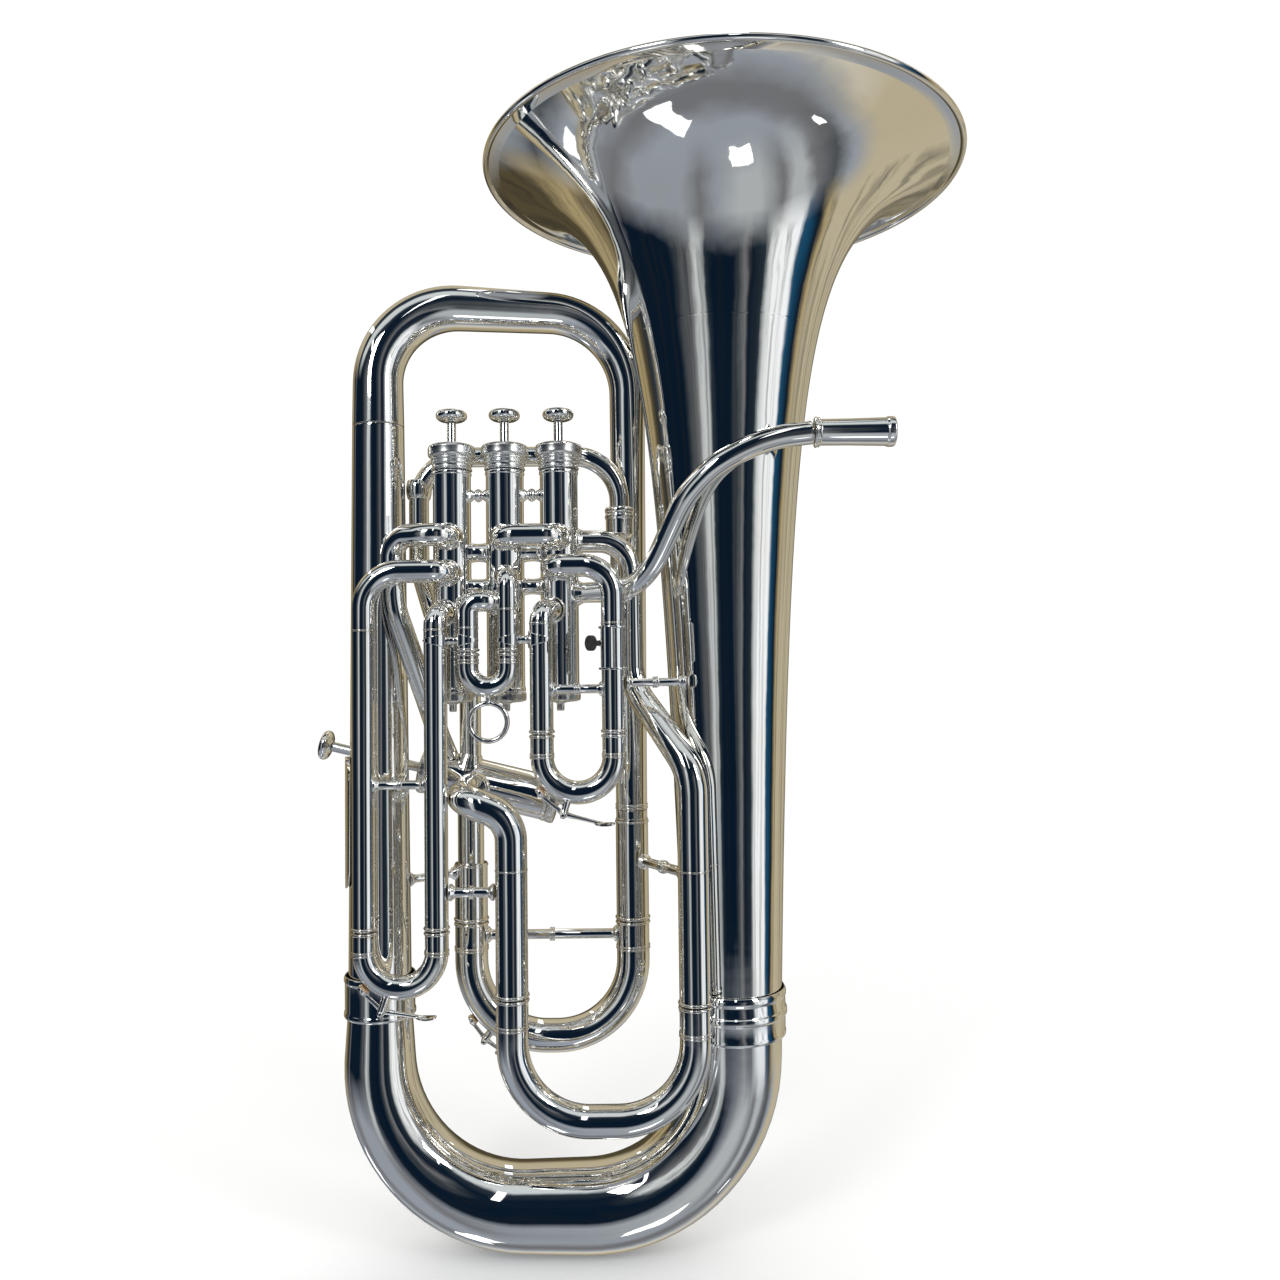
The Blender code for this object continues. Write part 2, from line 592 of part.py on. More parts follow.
def main():
    clear_scene()
    build_bell()
    build_body()
    build_main_slide()
    for number, x in VALVE_X.items():
        build_valve(number, (x, VALVE_Y, VALVE_BASE_Z), (0, 0, 0), 11.8, 14.8, 138.0, 16.7,
                    2.8, 14.6)
    side_tilt = math.radians(-76.0)
    build_valve(4, (-6.0, BACK_Y, 277.6), (0, side_tilt, 0), 14.8, 16.2, 76.0, 11.0, 3.2, 61.0)
    build_slide_1()
    build_slide_2()
    build_slide_3()
    build_slide_4()
    build_tubes()
    build_braces()
    build_lyre_socket()
    build_water_keys()


main()
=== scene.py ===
"""Looks of a four-valve euphonium: smooth tubing, valves and fittings in polished silver plate.

Lengths are in millimetres in the part's frame: +X runs from the left branch to the bell,
+Y to the back and +Z up along the bell. Meshes are written in metres.
"""

import json
import math

import bmesh
import bpy
from mathutils import Matrix, Vector


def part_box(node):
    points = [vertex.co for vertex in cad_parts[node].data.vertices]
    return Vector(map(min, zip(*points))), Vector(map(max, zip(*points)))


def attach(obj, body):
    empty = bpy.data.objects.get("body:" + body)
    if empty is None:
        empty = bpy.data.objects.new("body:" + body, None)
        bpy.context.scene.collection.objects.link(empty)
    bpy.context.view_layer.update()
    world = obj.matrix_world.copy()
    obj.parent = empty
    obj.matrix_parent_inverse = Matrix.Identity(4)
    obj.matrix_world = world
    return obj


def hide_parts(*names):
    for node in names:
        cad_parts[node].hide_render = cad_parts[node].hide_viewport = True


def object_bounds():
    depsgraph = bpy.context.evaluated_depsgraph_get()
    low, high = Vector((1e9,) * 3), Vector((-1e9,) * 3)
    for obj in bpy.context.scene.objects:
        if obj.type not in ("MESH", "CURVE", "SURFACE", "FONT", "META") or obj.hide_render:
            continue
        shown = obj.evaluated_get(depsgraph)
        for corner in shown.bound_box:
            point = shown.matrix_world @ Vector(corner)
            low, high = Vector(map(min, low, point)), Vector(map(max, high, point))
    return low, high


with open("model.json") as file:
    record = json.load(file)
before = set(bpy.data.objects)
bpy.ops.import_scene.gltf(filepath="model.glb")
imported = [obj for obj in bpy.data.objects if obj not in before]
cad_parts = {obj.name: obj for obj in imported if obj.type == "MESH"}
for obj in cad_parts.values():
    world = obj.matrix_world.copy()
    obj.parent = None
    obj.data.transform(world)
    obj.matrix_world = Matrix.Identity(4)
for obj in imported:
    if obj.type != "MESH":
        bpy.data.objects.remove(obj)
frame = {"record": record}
CAD_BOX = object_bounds()
BODY_OF = {node: body for body, nodes in frame["record"]["behaviour"]["bodies"].items()
           for node in nodes}
MM = 0.001


def span(node):
    """Lowest and highest corner of a CAD node, in millimetres."""
    low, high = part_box(node)
    return low / MM, high / MM


def middle(node):
    low, high = span(node)
    return (low + high) / 2


# ---- places taken from the frame, and the sizes of the tubing ------------------------

BELL_X = middle("bell").x
BELL_BOTTOM_Z = span("bell_tail")[0].z
BELL_SEAM_Z = span("bell")[0].z
RIM_Z = span("bell")[1].z
BRANCH_X = middle("left_branch").x
VALVE_X = {number: middle(f"valve_casing_{number}").x for number in (1, 2, 3)}
VALVE_Y = middle("valve_casing_1").y
VALVE_BASE_Z = span("valve_casing_1")[0].z
RIGHT_X = middle("main_receiver_right").x
BACK_Y = middle("main_receiver_right").y
MAIN_LEFT_X = middle("main_receiver_left").x
MAIN_SLIDE_END_Z = span("main_receiver_left")[0].z
RIM_RADIUS = 152.4
BOW_BOTTOM_Z = 27.2
BOW_CORNER = 92.0
BRANCH_TOP_Z = span("left_branch")[1].z
TOP_BOW_Z = 599.0
TOP_BOW_CORNER = 52.0
SLIDE_Y = -38.0
FRONT_Y = -38.5
CASING_RADIUS = 11.8
CASING_FRONT = VALVE_Y - 12.4
SHEET = 0.9
GAP = 0.35
STROKE = 14.0
MAIN_TUBE = 10.3
MAIN_SLEEVE = 10.7
VALVE_BORE_TUBE = 7.0
VALVE_4_BASE = (-6.0, BACK_Y, 277.6)
VALVE_4_TILT = -76.0
VALVE_4_RADIUS = 14.8
SMALL_TUBE = 6.3
WIDE_TUBE = 9.6

ARC_STEP = 5.0      # degrees between cross-sections in a bend
EDGE = 0.3          # rounding of a tube's cut ends
STEP_RUN = 0.35     # length over which a sleeve's radius changes
SEAM_REACH = 1.6    # how far tarnish spreads from a seam
SHARP_ANGLE = 42.0  # degrees; a crease at least this steep stays sharp
HAIRLINE_DEPTH = 0.0000005   # metres
MIX_FIRST, MIX_SECOND, MIX_RESULT = 6, 7, 2   # places of a Mix node's colour sockets

# ---- materials -----------------------------------------------------------------------

def set_inputs(tree, node, inputs):
    """Link an output to each named input, or give that input a plain value."""
    for key, value in inputs.items():
        if isinstance(value, bpy.types.NodeSocket):
            tree.links.new(value, node.inputs[key])
        else:
            node.inputs[key].default_value = value


def add_node(tree, kind, inputs=(), **settings):
    node = tree.nodes.new(kind)
    for key, value in settings.items():
        setattr(node, key, value)
    set_inputs(tree, node, dict(inputs))
    return node


def compute(tree, operation, first, second=0.0):
    return add_node(tree, "ShaderNodeMath", {0: first, 1: second}, operation=operation).outputs[0]


def times(tree, first, second):
    return compute(tree, "MULTIPLY", first, second)


def spread(tree, value, low, high, to_low=0.0, to_high=1.0):
    """value between low and high, spread over to_low and to_high."""
    node = add_node(tree, "ShaderNodeMapRange", {"Value": value, "From Min": low, "From Max": high,
                                                 "To Min": to_low, "To Max": to_high})
    return node.outputs["Result"]


def noise(tree, vector, scale, detail=2.0):
    node = add_node(tree, "ShaderNodeTexNoise", {"Vector": vector, "Scale": scale, "Detail": detail})
    return node.outputs["Fac"]


def colour_mix(tree, share, first, second):
    """Colour between first and second by share; each may be a colour or a socket."""
    first, second = ((*colour, 1.0) if isinstance(colour, tuple) else colour
                     for colour in (first, second))
    node = add_node(tree, "ShaderNodeMix", {0: share, MIX_FIRST: first, MIX_SECOND: second},
                    data_type="RGBA")
    return node.outputs[MIX_RESULT]


def new_material(name):
    """A material, its node tree, its shader and the object's own coordinates."""
    material = bpy.data.materials.new(name)
    material.use_nodes = True
    tree = material.node_tree
    place = tree.nodes.new("ShaderNodeTexCoord").outputs["Object"]
    return material, tree, tree.nodes["Principled BSDF"], place


def metal(name, bright, aged, tarnish, roughness, wave=0.00012):
    """Plated metal: cloudy colour, darker seams, waviness wave metres deep and hairline marks."""
    material, tree, shader, place = new_material(name)
    clouds = noise(tree, place, 11.0, 4.0)
    smudges = noise(tree, place, 95.0, 5.0)
    drawn_out = add_node(tree, "ShaderNodeMapping", {"Vector": place, "Scale": (1.0, 1.0, 0.06)})
    hairlines = noise(tree, drawn_out.outputs[0], 5200.0)
    seam = add_node(tree, "ShaderNodeAttribute", attribute_name="tarnish").outputs["Fac"]
    colour = colour_mix(tree, spread(tree, clouds, 0.38, 0.68, 0.0, 0.75), bright, aged)
    colour = colour_mix(tree, spread(tree, smudges, 0.55, 0.78, 0.0, 0.35), colour, aged)
    stain = times(tree, seam, spread(tree, smudges, 0.35, 0.75, 0.05, 0.45))
    sheen = spread(tree, smudges, 0.3, 0.75, roughness * 0.75, roughness * 1.5)
    waves = add_node(tree, "ShaderNodeBump", {"Height": noise(tree, place, 42.0), "Distance": wave,
                                              "Strength": 1.0})
    marks = add_node(tree, "ShaderNodeBump", {"Height": hairlines, "Distance": HAIRLINE_DEPTH,
                                              "Strength": 0.5, "Normal": waves.outputs[0]})
    set_inputs(tree, shader, {
        "Base Color": colour_mix(tree, stain, colour, tarnish), "Metallic": 1.0,
        "Roughness": compute(tree, "ADD", sheen, times(tree, seam, 0.04)),
        "Normal": marks.outputs[0]})
    return material


def dull(name, colour, pale, roughness, scale, depth):
    """Plastic or cork: speckled colour and a grainy surface, its grains depth metres deep."""
    material, tree, shader, place = new_material(name)
    grain = noise(tree, place, scale, 4.0)
    bump = add_node(tree, "ShaderNodeBump", {"Height": grain, "Distance": depth, "Strength": 0.7})
    set_inputs(tree, shader, {
        "Base Color": colour_mix(tree, spread(tree, grain, 0.35, 0.75), colour, pale),
        "Roughness": spread(tree, grain, 0.3, 0.7, roughness * 0.8, roughness * 1.2),
        "Normal": bump.outputs[0]})
    return material


PLATE = metal("silver_plate", (0.95, 0.945, 0.93), (0.90, 0.88, 0.82), (0.50, 0.40, 0.24), 0.030)
BELL_PLATE = metal("bell_plate", (0.94, 0.935, 0.915), (0.88, 0.855, 0.79), (0.50, 0.40, 0.24), 0.035,
                   wave=0.00015)
CAP_PLATE = metal("cap_plate", (0.90, 0.90, 0.88), (0.78, 0.77, 0.72), (0.35, 0.29, 0.18), 0.24)
BUTTON_PLATE = metal("button_plate", (0.95, 0.95, 0.93), (0.87, 0.85, 0.80), (0.45, 0.37, 0.23), 0.05)
PISTON_METAL = metal("piston_metal", (0.80, 0.80, 0.79), (0.68, 0.68, 0.65), (0.30, 0.27, 0.22), 0.16)
SPRING_METAL = metal("spring_metal", (0.62, 0.62, 0.60), (0.48, 0.47, 0.44), (0.2, 0.18, 0.15), 0.24)
BLACK = dull("black_plastic", (0.012, 0.012, 0.013), (0.035, 0.035, 0.037), 0.5, 900.0, 0.00003)
CORK = dull("cork", (0.36, 0.22, 0.11), (0.62, 0.44, 0.26), 0.85, 1400.0, 0.0001)

# ---- pieces --------------------------------------------------------------------------

def add_object(name, data):
    thing = bpy.data.objects.new(name, data)
    bpy.context.scene.collection.objects.link(thing)
    return thing


def make_piece(name, bm, origin=(0, 0, 0), rotation=(0, 0, 0), material=PLATE, extra=()):
    """Write a bmesh in millimetres, and more of them in the same place, as one object."""
    bmesh.ops.recalc_face_normals(bm, faces=bm.faces[:])
    scratch = bpy.data.meshes.new("scratch")
    for other in extra:
        bmesh.ops.recalc_face_normals(other, faces=other.faces[:])
        other.to_mesh(scratch)
        bm.from_mesh(scratch)
        other.free()
    bpy.data.meshes.remove(scratch)
    bmesh.ops.scale(bm, vec=(MM, MM, MM), verts=bm.verts[:])
    mesh = bpy.data.meshes.new(name)
    bm.to_mesh(mesh)
    bm.free()
    mesh.shade_smooth()
    mesh.set_sharp_from_angle(angle=math.radians(SHARP_ANGLE))
    mesh.materials.append(material)
    piece = add_object(name, mesh)
    piece.location = Vector(origin) * MM
    piece.rotation_euler = rotation
    return piece


def stand_in(piece, *nodes, slot="silver_plate"):
    """piece takes the place of these CAD nodes and moves with their body."""
    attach(piece, BODY_OF[nodes[0]])
    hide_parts(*nodes)
    return piece


def skin(node, *shape, name="", slot="silver_plate", **options):
    """A piece that takes the place of one CAD node and, unless named, is called after it."""
    return stand_in(make_piece(name or f"{node}_skin", *shape, **options), node, slot=slot)


def fitting(piece, body="root"):
    """piece is a detail with no CAD node of its own."""
    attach(piece, body)
    return piece


# ---- routes and meshes ---------------------------------------------------------------

def rounded(points, radii=()):
    """A polyline with its corners rounded, as (point, tangent) pairs."""
    points = [Vector(p) for p in points]
    if isinstance(radii, (int, float)):
        radii = [radii] * (len(points) - 2)
    path = [(points[0], (points[1] - points[0]).normalized())]
    for before, corner, after, radius in zip(points, points[1:], points[2:], radii):
        into = (corner - before).normalized()
        out = (after - corner).normalized()
        turn = into.angle(out)
        side = (out - into * into.dot(out)).normalized()
        centre = corner - into * (radius * math.tan(turn / 2)) + side * radius
        count = max(2, math.ceil(math.degrees(turn) / ARC_STEP))
        for i in range(count + 1):
            angle = turn * i / count
            path.append((centre + (into * math.sin(angle) - side * math.cos(angle)) * radius,
                         into * math.cos(angle) + side * math.sin(angle)))
    path.append((points[-1], (points[-1] - points[-2]).normalized()))
    return path


def curve_through(points):
    """(point, tangent) pairs along a Catmull-Rom curve through the given points."""
    points = [Vector(p) for p in points]
    ends = [points[0] * 2 - points[1]] + points + [points[-1] * 2 - points[-2]]
    path = []
    per_span = 8
    for a, b, c, d in zip(ends, ends[1:], ends[2:], ends[3:]):
        for i in range(per_span):
            t = i / per_span
            path.append(0.5 * (2 * b + (c - a) * t + (2 * a - 5 * b + 4 * c - d) * t * t
                               + (3 * b - a - 3 * c + d) * t ** 3))
    path.append(points[-1])
    return [(p, (b - a).normalized())
            for p, a, b in zip(path, path[:1] + path[:-1], path[1:] + path[-1:])]


def frames_along(path):
    """Position, distance and two cross-section directions at each point of the path."""
    side = Vector((0, 0, 1)) if abs(path[0][1].y) > 0.9 else Vector((0, 1, 0))
    frames = []
    travelled = 0.0
    for i, (point, tangent) in enumerate(path):
        if i:
            travelled += (point - path[i - 1][0]).length
            side = path[i - 1][1].rotation_difference(tangent) @ side
        side = (side - tangent * side.dot(tangent)).normalized()
        frames.append((point, travelled, side, tangent.cross(side)))
    return frames


def frame_at(frames, distance):
    for first, second in zip(frames, frames[1:]):
        if distance <= second[1]:
            share = max(0.0, distance - first[1]) / max(1e-9, second[1] - first[1])
            return (first[0].lerp(second[0], share), distance,
                    first[2].lerp(second[2], share).normalized(),
                    first[3].lerp(second[3], share).normalized())
    return frames[-1]


def new_mesh():
    """An empty bmesh and its tarnish layer, which the metals read."""
    bm = bmesh.new()
    return bm, bm.verts.layers.float.new("tarnish")


def add_ring(bm, at, radius, sides):
    point, _, side, up = at
    ring = []
    for i in range(sides):
        angle = 2 * math.pi * (i + 0.5) / sides
        ring.append(bm.verts.new(point + (side * math.cos(angle) + up * math.sin(angle)) * radius))
    return ring


def bridge(bm, first, second):
    for i, (a, b) in enumerate(zip(first, second)):
        j = (i + 1) % len(first)
        bm.faces.new((a, first[j], second[j], b))


def limit(value):
    return max(0.0, min(1.0, value))


def tube_mesh(path, radius, wall=SHEET, sides=40, sleeves=(), beads=()):
    """A hollow tube along a path, with its cut ends rounded.

    radius is the outer radius, or a function of the share of the path covered.
    sleeves are (distance, outer radius) pairs: from there on the tube has that radius, or its
    plain one where that is None. beads are (distance, width, height) half-round rings; a
    negative height is a groove. Negative distances are measured from the far end.
    """
    frames = frames_along(path)
    total = frames[-1][1]
    plain = radius if callable(radius) else (lambda share: radius)
    sleeves = [(total + d if d < 0 else d, r) for d, r in sleeves]
    beads = [(total + d if d < 0 else d, width, height) for d, width, height in beads]

    def outer_at(distance):
        value = base = plain(distance / total)
        for start, sleeve in sleeves:
            value += ((sleeve or base) - value) * limit((distance - start) / STEP_RUN)
        for centre, width, height in beads:
            offset = 2 * (distance - centre) / width
            value += height * math.sqrt(max(0.0, 1 - offset * offset))
        depth = limit(min(distance, total - distance) / EDGE)
        return value - EDGE * (1 - math.sqrt(1 - (1 - depth) ** 2))

    seams = [0.0, total] + [d for d, _ in sleeves]
    marks = [f[1] for f in frames] + [0.03, 0.12, EDGE, total - EDGE, total - 0.12, total - 0.03]
    for start, _ in sleeves:
        marks += [start, start + STEP_RUN]
    for centre, width, height in beads:
        seams += [centre - width / 2, centre + width / 2]
        marks += [centre + width / 2 * math.cos(math.pi * k / 8) for k in range(9)]
    marks += [seam + way for seam in seams for way in (-3 * SEAM_REACH, -SEAM_REACH, SEAM_REACH,
                                                       3 * SEAM_REACH)]
    marks = sorted(mark for mark in marks if 0 <= mark <= total)
    marks = [mark for k, mark in enumerate(marks) if k == 0 or mark - marks[k - 1] > 0.01]
    bm, tarnish = new_mesh()
    outer = []
    for mark in marks:
        ring = add_ring(bm, frame_at(frames, mark), outer_at(mark), sides)
        for vert in ring:
            vert[tarnish] = math.exp(-min(abs(mark - seam) for seam in seams) / SEAM_REACH)
        outer.append(ring)
    inner = [add_ring(bm, f, plain(f[1] / total) - wall, sides)
             for f in frames[:-1:2] + frames[-1:]]
    for rings in (outer, inner):
        for first, second in zip(rings, rings[1:]):
            bridge(bm, first, second)
    bridge(bm, outer[0], inner[0])
    bridge(bm, outer[-1], inner[-1])
    return bm


def softened(profile, reach, closed=False, count=3):
    """The profile with each corner cut back by reach and rounded."""
    points = [Vector(p) for p in profile]
    soft = [] if closed else [points[0]]
    corners = range(len(points)) if closed else range(1, len(points) - 1)
    for i in corners:
        corner = points[i]
        before = points[i - 1] - corner
        after = points[(i + 1) % len(points)] - corner
        cut = min(reach, before.length * 0.45, after.length * 0.45)
        start = corner + before.normalized() * cut
        end = corner + after.normalized() * cut
        for k in range(count + 1):
            t = k / count
            soft.append(start * (1 - t) ** 2 + corner * 2 * t * (1 - t) + end * t * t)
    if not closed:
        soft.append(points[-1])
    return soft


def lathe_mesh(profile, sides=64, closed=False, ribs=None):
    """Turn (radius, height) points about Z; a closed profile makes a hollow ring.

    ribs is (lowest, highest, least radius, depth): a knurled band between those heights.
    """
    bm, _ = new_mesh()
    rings = []
    for radius, height in profile:
        if radius < 1e-6:
            rings.append([bm.verts.new((0, 0, height))])
            continue
        knurled = ribs and ribs[0] <= height <= ribs[1] and radius > ribs[2]
        ring = []
        for i in range(sides):
            angle = 2 * math.pi * (i + 0.5) / sides
            reach = radius - (ribs[3] if knurled and i % 2 else 0.0)
            ring.append(bm.verts.new((reach * math.cos(angle), reach * math.sin(angle), height)))
        rings.append(ring)
    pairs = list(zip(rings, rings[1:]))
    if closed:
        pairs.append((rings[-1], rings[0]))
    for first, second in pairs:
        if len(first) == 1 or len(second) == 1:
            tip, ring = (first, second) if len(first) == 1 else (second, first)
            for i in range(sides):
                bm.faces.new((tip[0], ring[i], ring[(i + 1) % sides]))
        else:
            bridge(bm, first, second)
    return bm


def turned(profile, start, end, sides=32, softness=0.4):
    """A solid turned about the line from start to end.

    profile is (share of the length, radius) pairs, closed by a flat disc at each end.
    """
    start, end = Vector(start), Vector(end)
    length = (end - start).length
    heights = [(radius, share * length) for share, radius in profile]
    heights = [(0.0, heights[0][1])] + heights + [(0.0, heights[-1][1])]
    bm = lathe_mesh(softened(heights, softness), sides)
    aim = (end - start).to_track_quat("Z", "Y").to_matrix().to_4x4()
    bmesh.ops.transform(bm, matrix=Matrix.Translation(start) @ aim, verts=bm.verts[:])
    return bm


def brace(start, end, radius):
    """A rod with a double ring at its middle and a flange where it is soldered at each end."""
    length = (Vector(end) - Vector(start)).length
    half = 1.5 / length
    foot = 1.3 / length
    taper = 3.4 / length
    wide, thick = radius * 1.7, radius * 1.4
    return turned([(0, wide), (foot, wide), (taper, radius), (0.5 - half, radius), (0.5 - half, thick),
                   (0.5 - 0.15 * half, thick), (0.5, radius * 1.12), (0.5 + 0.15 * half, thick),
                   (0.5 + half, thick), (0.5 + half, radius), (1 - taper, radius), (1 - foot, wide),
                   (1, wide)], start, end)


def saddle(axis, radius, facing, height, reach, thickness):
    """A thin diamond-shaped plate wrapped round an upright tube.

    axis is the tube's centre at the plate's middle height, facing the direction of its middle
    in degrees from +X, height its full height there and reach the angle at which it ends.
    """
    columns, lip = 24, 0.35
    buried, skirt, face = radius - 0.15, radius + 0.3 * thickness, radius + thickness
    bm, tarnish = new_mesh()
    strips = []
    for i in range(columns + 1):
        share = 2 * i / columns - 1
        angle = math.radians(facing + reach * share)
        half = height / 2 * (1 - 0.85 * abs(share))
        strip = []
        for r, z, amount in ((buried, -half, 1.0), (skirt, -half, 1.0), (face, lip - half, 0.0),
                             (face, half - lip, 0.0), (skirt, half, 1.0), (buried, half, 1.0)):
            strip.append(bm.verts.new((axis[0] + r * math.cos(angle), axis[1] + r * math.sin(angle),
                                       axis[2] + z)))
            strip[-1][tarnish] = amount
        strips.append(strip)
    for first, second in zip(strips, strips[1:]):
        bridge(bm, first, second)
    bm.faces.new(strips[0])
    bm.faces.new(strips[-1])
    return bm


# ---- bell and body tubes -------------------------------------------------------------

def bell_radius(z):
    flare = 38.4
    depth = RIM_Z - z
    return 20.7 + 0.01 * (z - BELL_BOTTOM_Z) + 126.4 * (flare / (depth + flare)) ** 0.94


def build_bell():
    """Flare and tail as one skin, with the fine line where they are soldered together."""
    count = 90
    lowest, highest = BELL_BOTTOM_Z, RIM_Z - 3.5
    heights = [lowest + (highest - lowest) * math.sin(math.pi / 2 * i / count) ** 0.85
               for i in range(count + 1)]
    seam = [BELL_SEAM_Z + offset for offset in (-1.8, -0.9, -0.5, -0.2, 0.2, 0.5, 0.9, 1.8)]
    heights = sorted([z for z in heights if abs(z - BELL_SEAM_Z) > 3.0] + seam)
    groove = 0.04
    outside = [(bell_radius(z) - (groove if z in seam[3:5] else 0.0), z) for z in heights]
    inside = [(bell_radius(z) - SHEET, z) for z in reversed(heights)]
    wire = 2.0
    turns = [math.radians(200 + 10 * k) for k in range(33)]
    bead = [(RIM_RADIUS - wire + wire * math.cos(turn), RIM_Z - wire + wire * math.sin(turn))
            for turn in turns]
    bell = make_piece("bell_skin", lathe_mesh(outside + bead + inside, sides=160, closed=True),
                      (BELL_X, 0, 0), material=BELL_PLATE)
    stand_in(bell, "bell", "bell_tail")


def ring_mesh(profile, sides=80, softness=0.5):
    return lathe_mesh(softened(profile, softness, closed=True), sides, closed=True)


def build_body():
    bow = rounded([(BRANCH_X, 0, 158), (BRANCH_X, 0, BOW_BOTTOM_Z), (BELL_X, 0, BOW_BOTTOM_Z),
                   (BELL_X, 0, BELL_BOTTOM_Z - GAP)], BOW_CORNER)
    skin("bottom_bow", tube_mesh(bow, lambda share: 19.6 + 11.4 * max(0.0, share - 0.03) ** 0.6,
                                 wall=1.0, sides=72))
    profile = [(32.0, 134), (33.0, 134), (33.3, 136), (32.9, 137), (32.9, 146), (34.0, 147.2),
               (34.0, 150.2), (33.1, 151.2), (32.9, 157.5), (33.5, 159), (33.5, 161), (32.6, 163),
               (32.0, 163)]
    skin("bell_ferrule", ring_mesh(profile), (BELL_X, 0, 0))
    profile = [(20.8, 147), (21.5, 147), (22.2, 148), (22.2, 150), (21.6, 151), (21.6, 168.5),
               (22.2, 169.5), (22.2, 171.5), (21.5, 173), (20.8, 173)]
    skin("bow_ferrule", ring_mesh(profile), (BRANCH_X, 0, 0))

    branch = rounded([(BRANCH_X, 0, 158 + GAP), (BRANCH_X, 0, BRANCH_TOP_Z)])
    skin("left_branch", tube_mesh(branch, lambda share: 19.5 - 3.2 * share, sides=64))
    top = rounded([(BRANCH_X, 0, BRANCH_TOP_Z + GAP), (BRANCH_X, 0, TOP_BOW_Z),
                   (RIGHT_X, BACK_Y, TOP_BOW_Z), (RIGHT_X, BACK_Y, 270)], TOP_BOW_CORNER)
    mesh = tube_mesh(top, lambda share: max(MAIN_TUBE, 16.3 - 9.5 * share), sides=56,
                     beads=[(-3.0, 1.6, 0.5), (-0.9, 1.4, 0.5)])
    skin("top_bow", mesh)
    build_guard()


def build_guard():
    """The curved plate round the outer side of the left branch, with rounded corners."""
    low, high = span("hand_guard")
    bottom, top = low.z, high.z
    rows, columns, corner = 28, 20, 9.0
    bm, tarnish = new_mesh()
    sheets = []
    for radius in (20.0, 21.2):
        sheet = []
        for i in range(rows + 1):
            z = bottom + (top - bottom) * (0.5 - 0.5 * math.cos(math.pi * i / rows))
            inset = max(0.0, corner - min(z - bottom, top - z))
            half = math.radians(40) - (corner - math.sqrt(corner ** 2 - inset ** 2)) / radius
            sheet.append([])
            for k in range(columns + 1):
                angle = math.pi + half * (2 * k / columns - 1)
                vert = bm.verts.new((radius * math.cos(angle), radius * math.sin(angle), z))
                vert[tarnish] = 0.5 if k in (0, columns) or i in (0, rows) else 0.0
                sheet[-1].append(vert)
        sheets.append(sheet)
        for first, second in zip(sheet, sheet[1:]):
            for k in range(columns):
                bm.faces.new((first[k], first[k + 1], second[k + 1], second[k]))
    borders = [sheet[0] + [row[-1] for row in sheet[1:-1]] + sheet[-1][::-1]
               + [row[0] for row in sheet[-2:0:-1]] for sheet in sheets]
    bridge(bm, *borders)
    skin("hand_guard", bm, (BRANCH_X, 0, 0))


# ---- slides --------------------------------------------------------------------------

def slide_mesh(left, right, y, start_left, start_right, bottom, radius, corner, inserted, band,
               sides=44):
    """A U-shaped slide: a bow, sleeves with rings, and two thinner legs that run upward."""
    leg = radius - SHEET - GAP
    path = rounded([(left, y, start_left + inserted), (left, y, bottom), (right, y, bottom),
                    (right, y, start_right + inserted)], corner)
    shown = inserted + GAP
    sleeves = [(shown, radius), (-shown - STEP_RUN, leg)]
    rings = [(shown + 1.4, 1.7, 0.75), (shown + band - 0.2, 1.2, 0.55), (shown + band - 1.9, 1.2, 0.55)]
    beads = rings + [(-at, width, height) for at, width, height in rings]
    return tube_mesh(path, leg, sides=sides, sleeves=sleeves, beads=beads)


def receiver_mesh(path, radius, seam, sides=44):
    """A branch that ends in the outer tube of a slide, with a ring on its mouth.

    seam is the distance up from the mouth where two lengths of tube meet.
    """
    upward = [(point, -tangent) for point, tangent in reversed(path)]
    return tube_mesh(upward, radius, sides=sides, beads=[(1.2, 1.8, 0.85), (seam, 1.0, 0.3)])


def build_main_slide():
    end = MAIN_SLIDE_END_Z
    for way, x, top, radius, sleeve, ring in (("right", RIGHT_X, 269.65, MAIN_TUBE, 66.0, 64.0),
                                              ("left", MAIN_LEFT_X, 276.4, 8.6, 38.0, 36.5)):
        mesh = tube_mesh(rounded([(x, BACK_Y, end), (x, BACK_Y, top)]), radius, sides=48,
                         sleeves=[(0.0, MAIN_SLEEVE), (sleeve, radius)],
                         beads=[(1.3, 2.0, 0.85), (ring, 1.4, 0.5)])
        skin(f"main_receiver_{way}", mesh)
    bow = slide_mesh(MAIN_LEFT_X, RIGHT_X, BACK_Y, end, end, 122.5, MAIN_SLEEVE, 50.0, 36.0, 18.5, 48)
    inset = MAIN_SLEEVE - 0.6
    rod = brace((MAIN_LEFT_X + inset, BACK_Y, 188.5), (RIGHT_X - inset, BACK_Y, 188.5), 3.2)
    skin("main_tuning_slide", bow, extra=[rod])


def braced_slide(number, ends, legs, seam, rod_z, bottom, corner, inserted):
    """Slide 1 or 3: two branches with a brace between them, and the bow that runs in them.

    ends is the x of the left and of the right branch and the height of both mouths.
    """
    left, right, end = ends
    inset = 6.05
    rod = brace((left + inset, SLIDE_Y, rod_z), (right - inset, SLIDE_Y, rod_z), 2.7)
    first, second = (receiver_mesh(rounded(*leg), VALVE_BORE_TUBE, seam) for leg in legs)
    skin(f"slide_{number}_receiver", first, extra=[second, rod], name=f"slide_{number}_branches")
    bow = slide_mesh(left, right, SLIDE_Y, end, end, bottom, VALVE_BORE_TUBE, corner, inserted, 14.0)
    skin(f"valve_slide_{number}", bow)


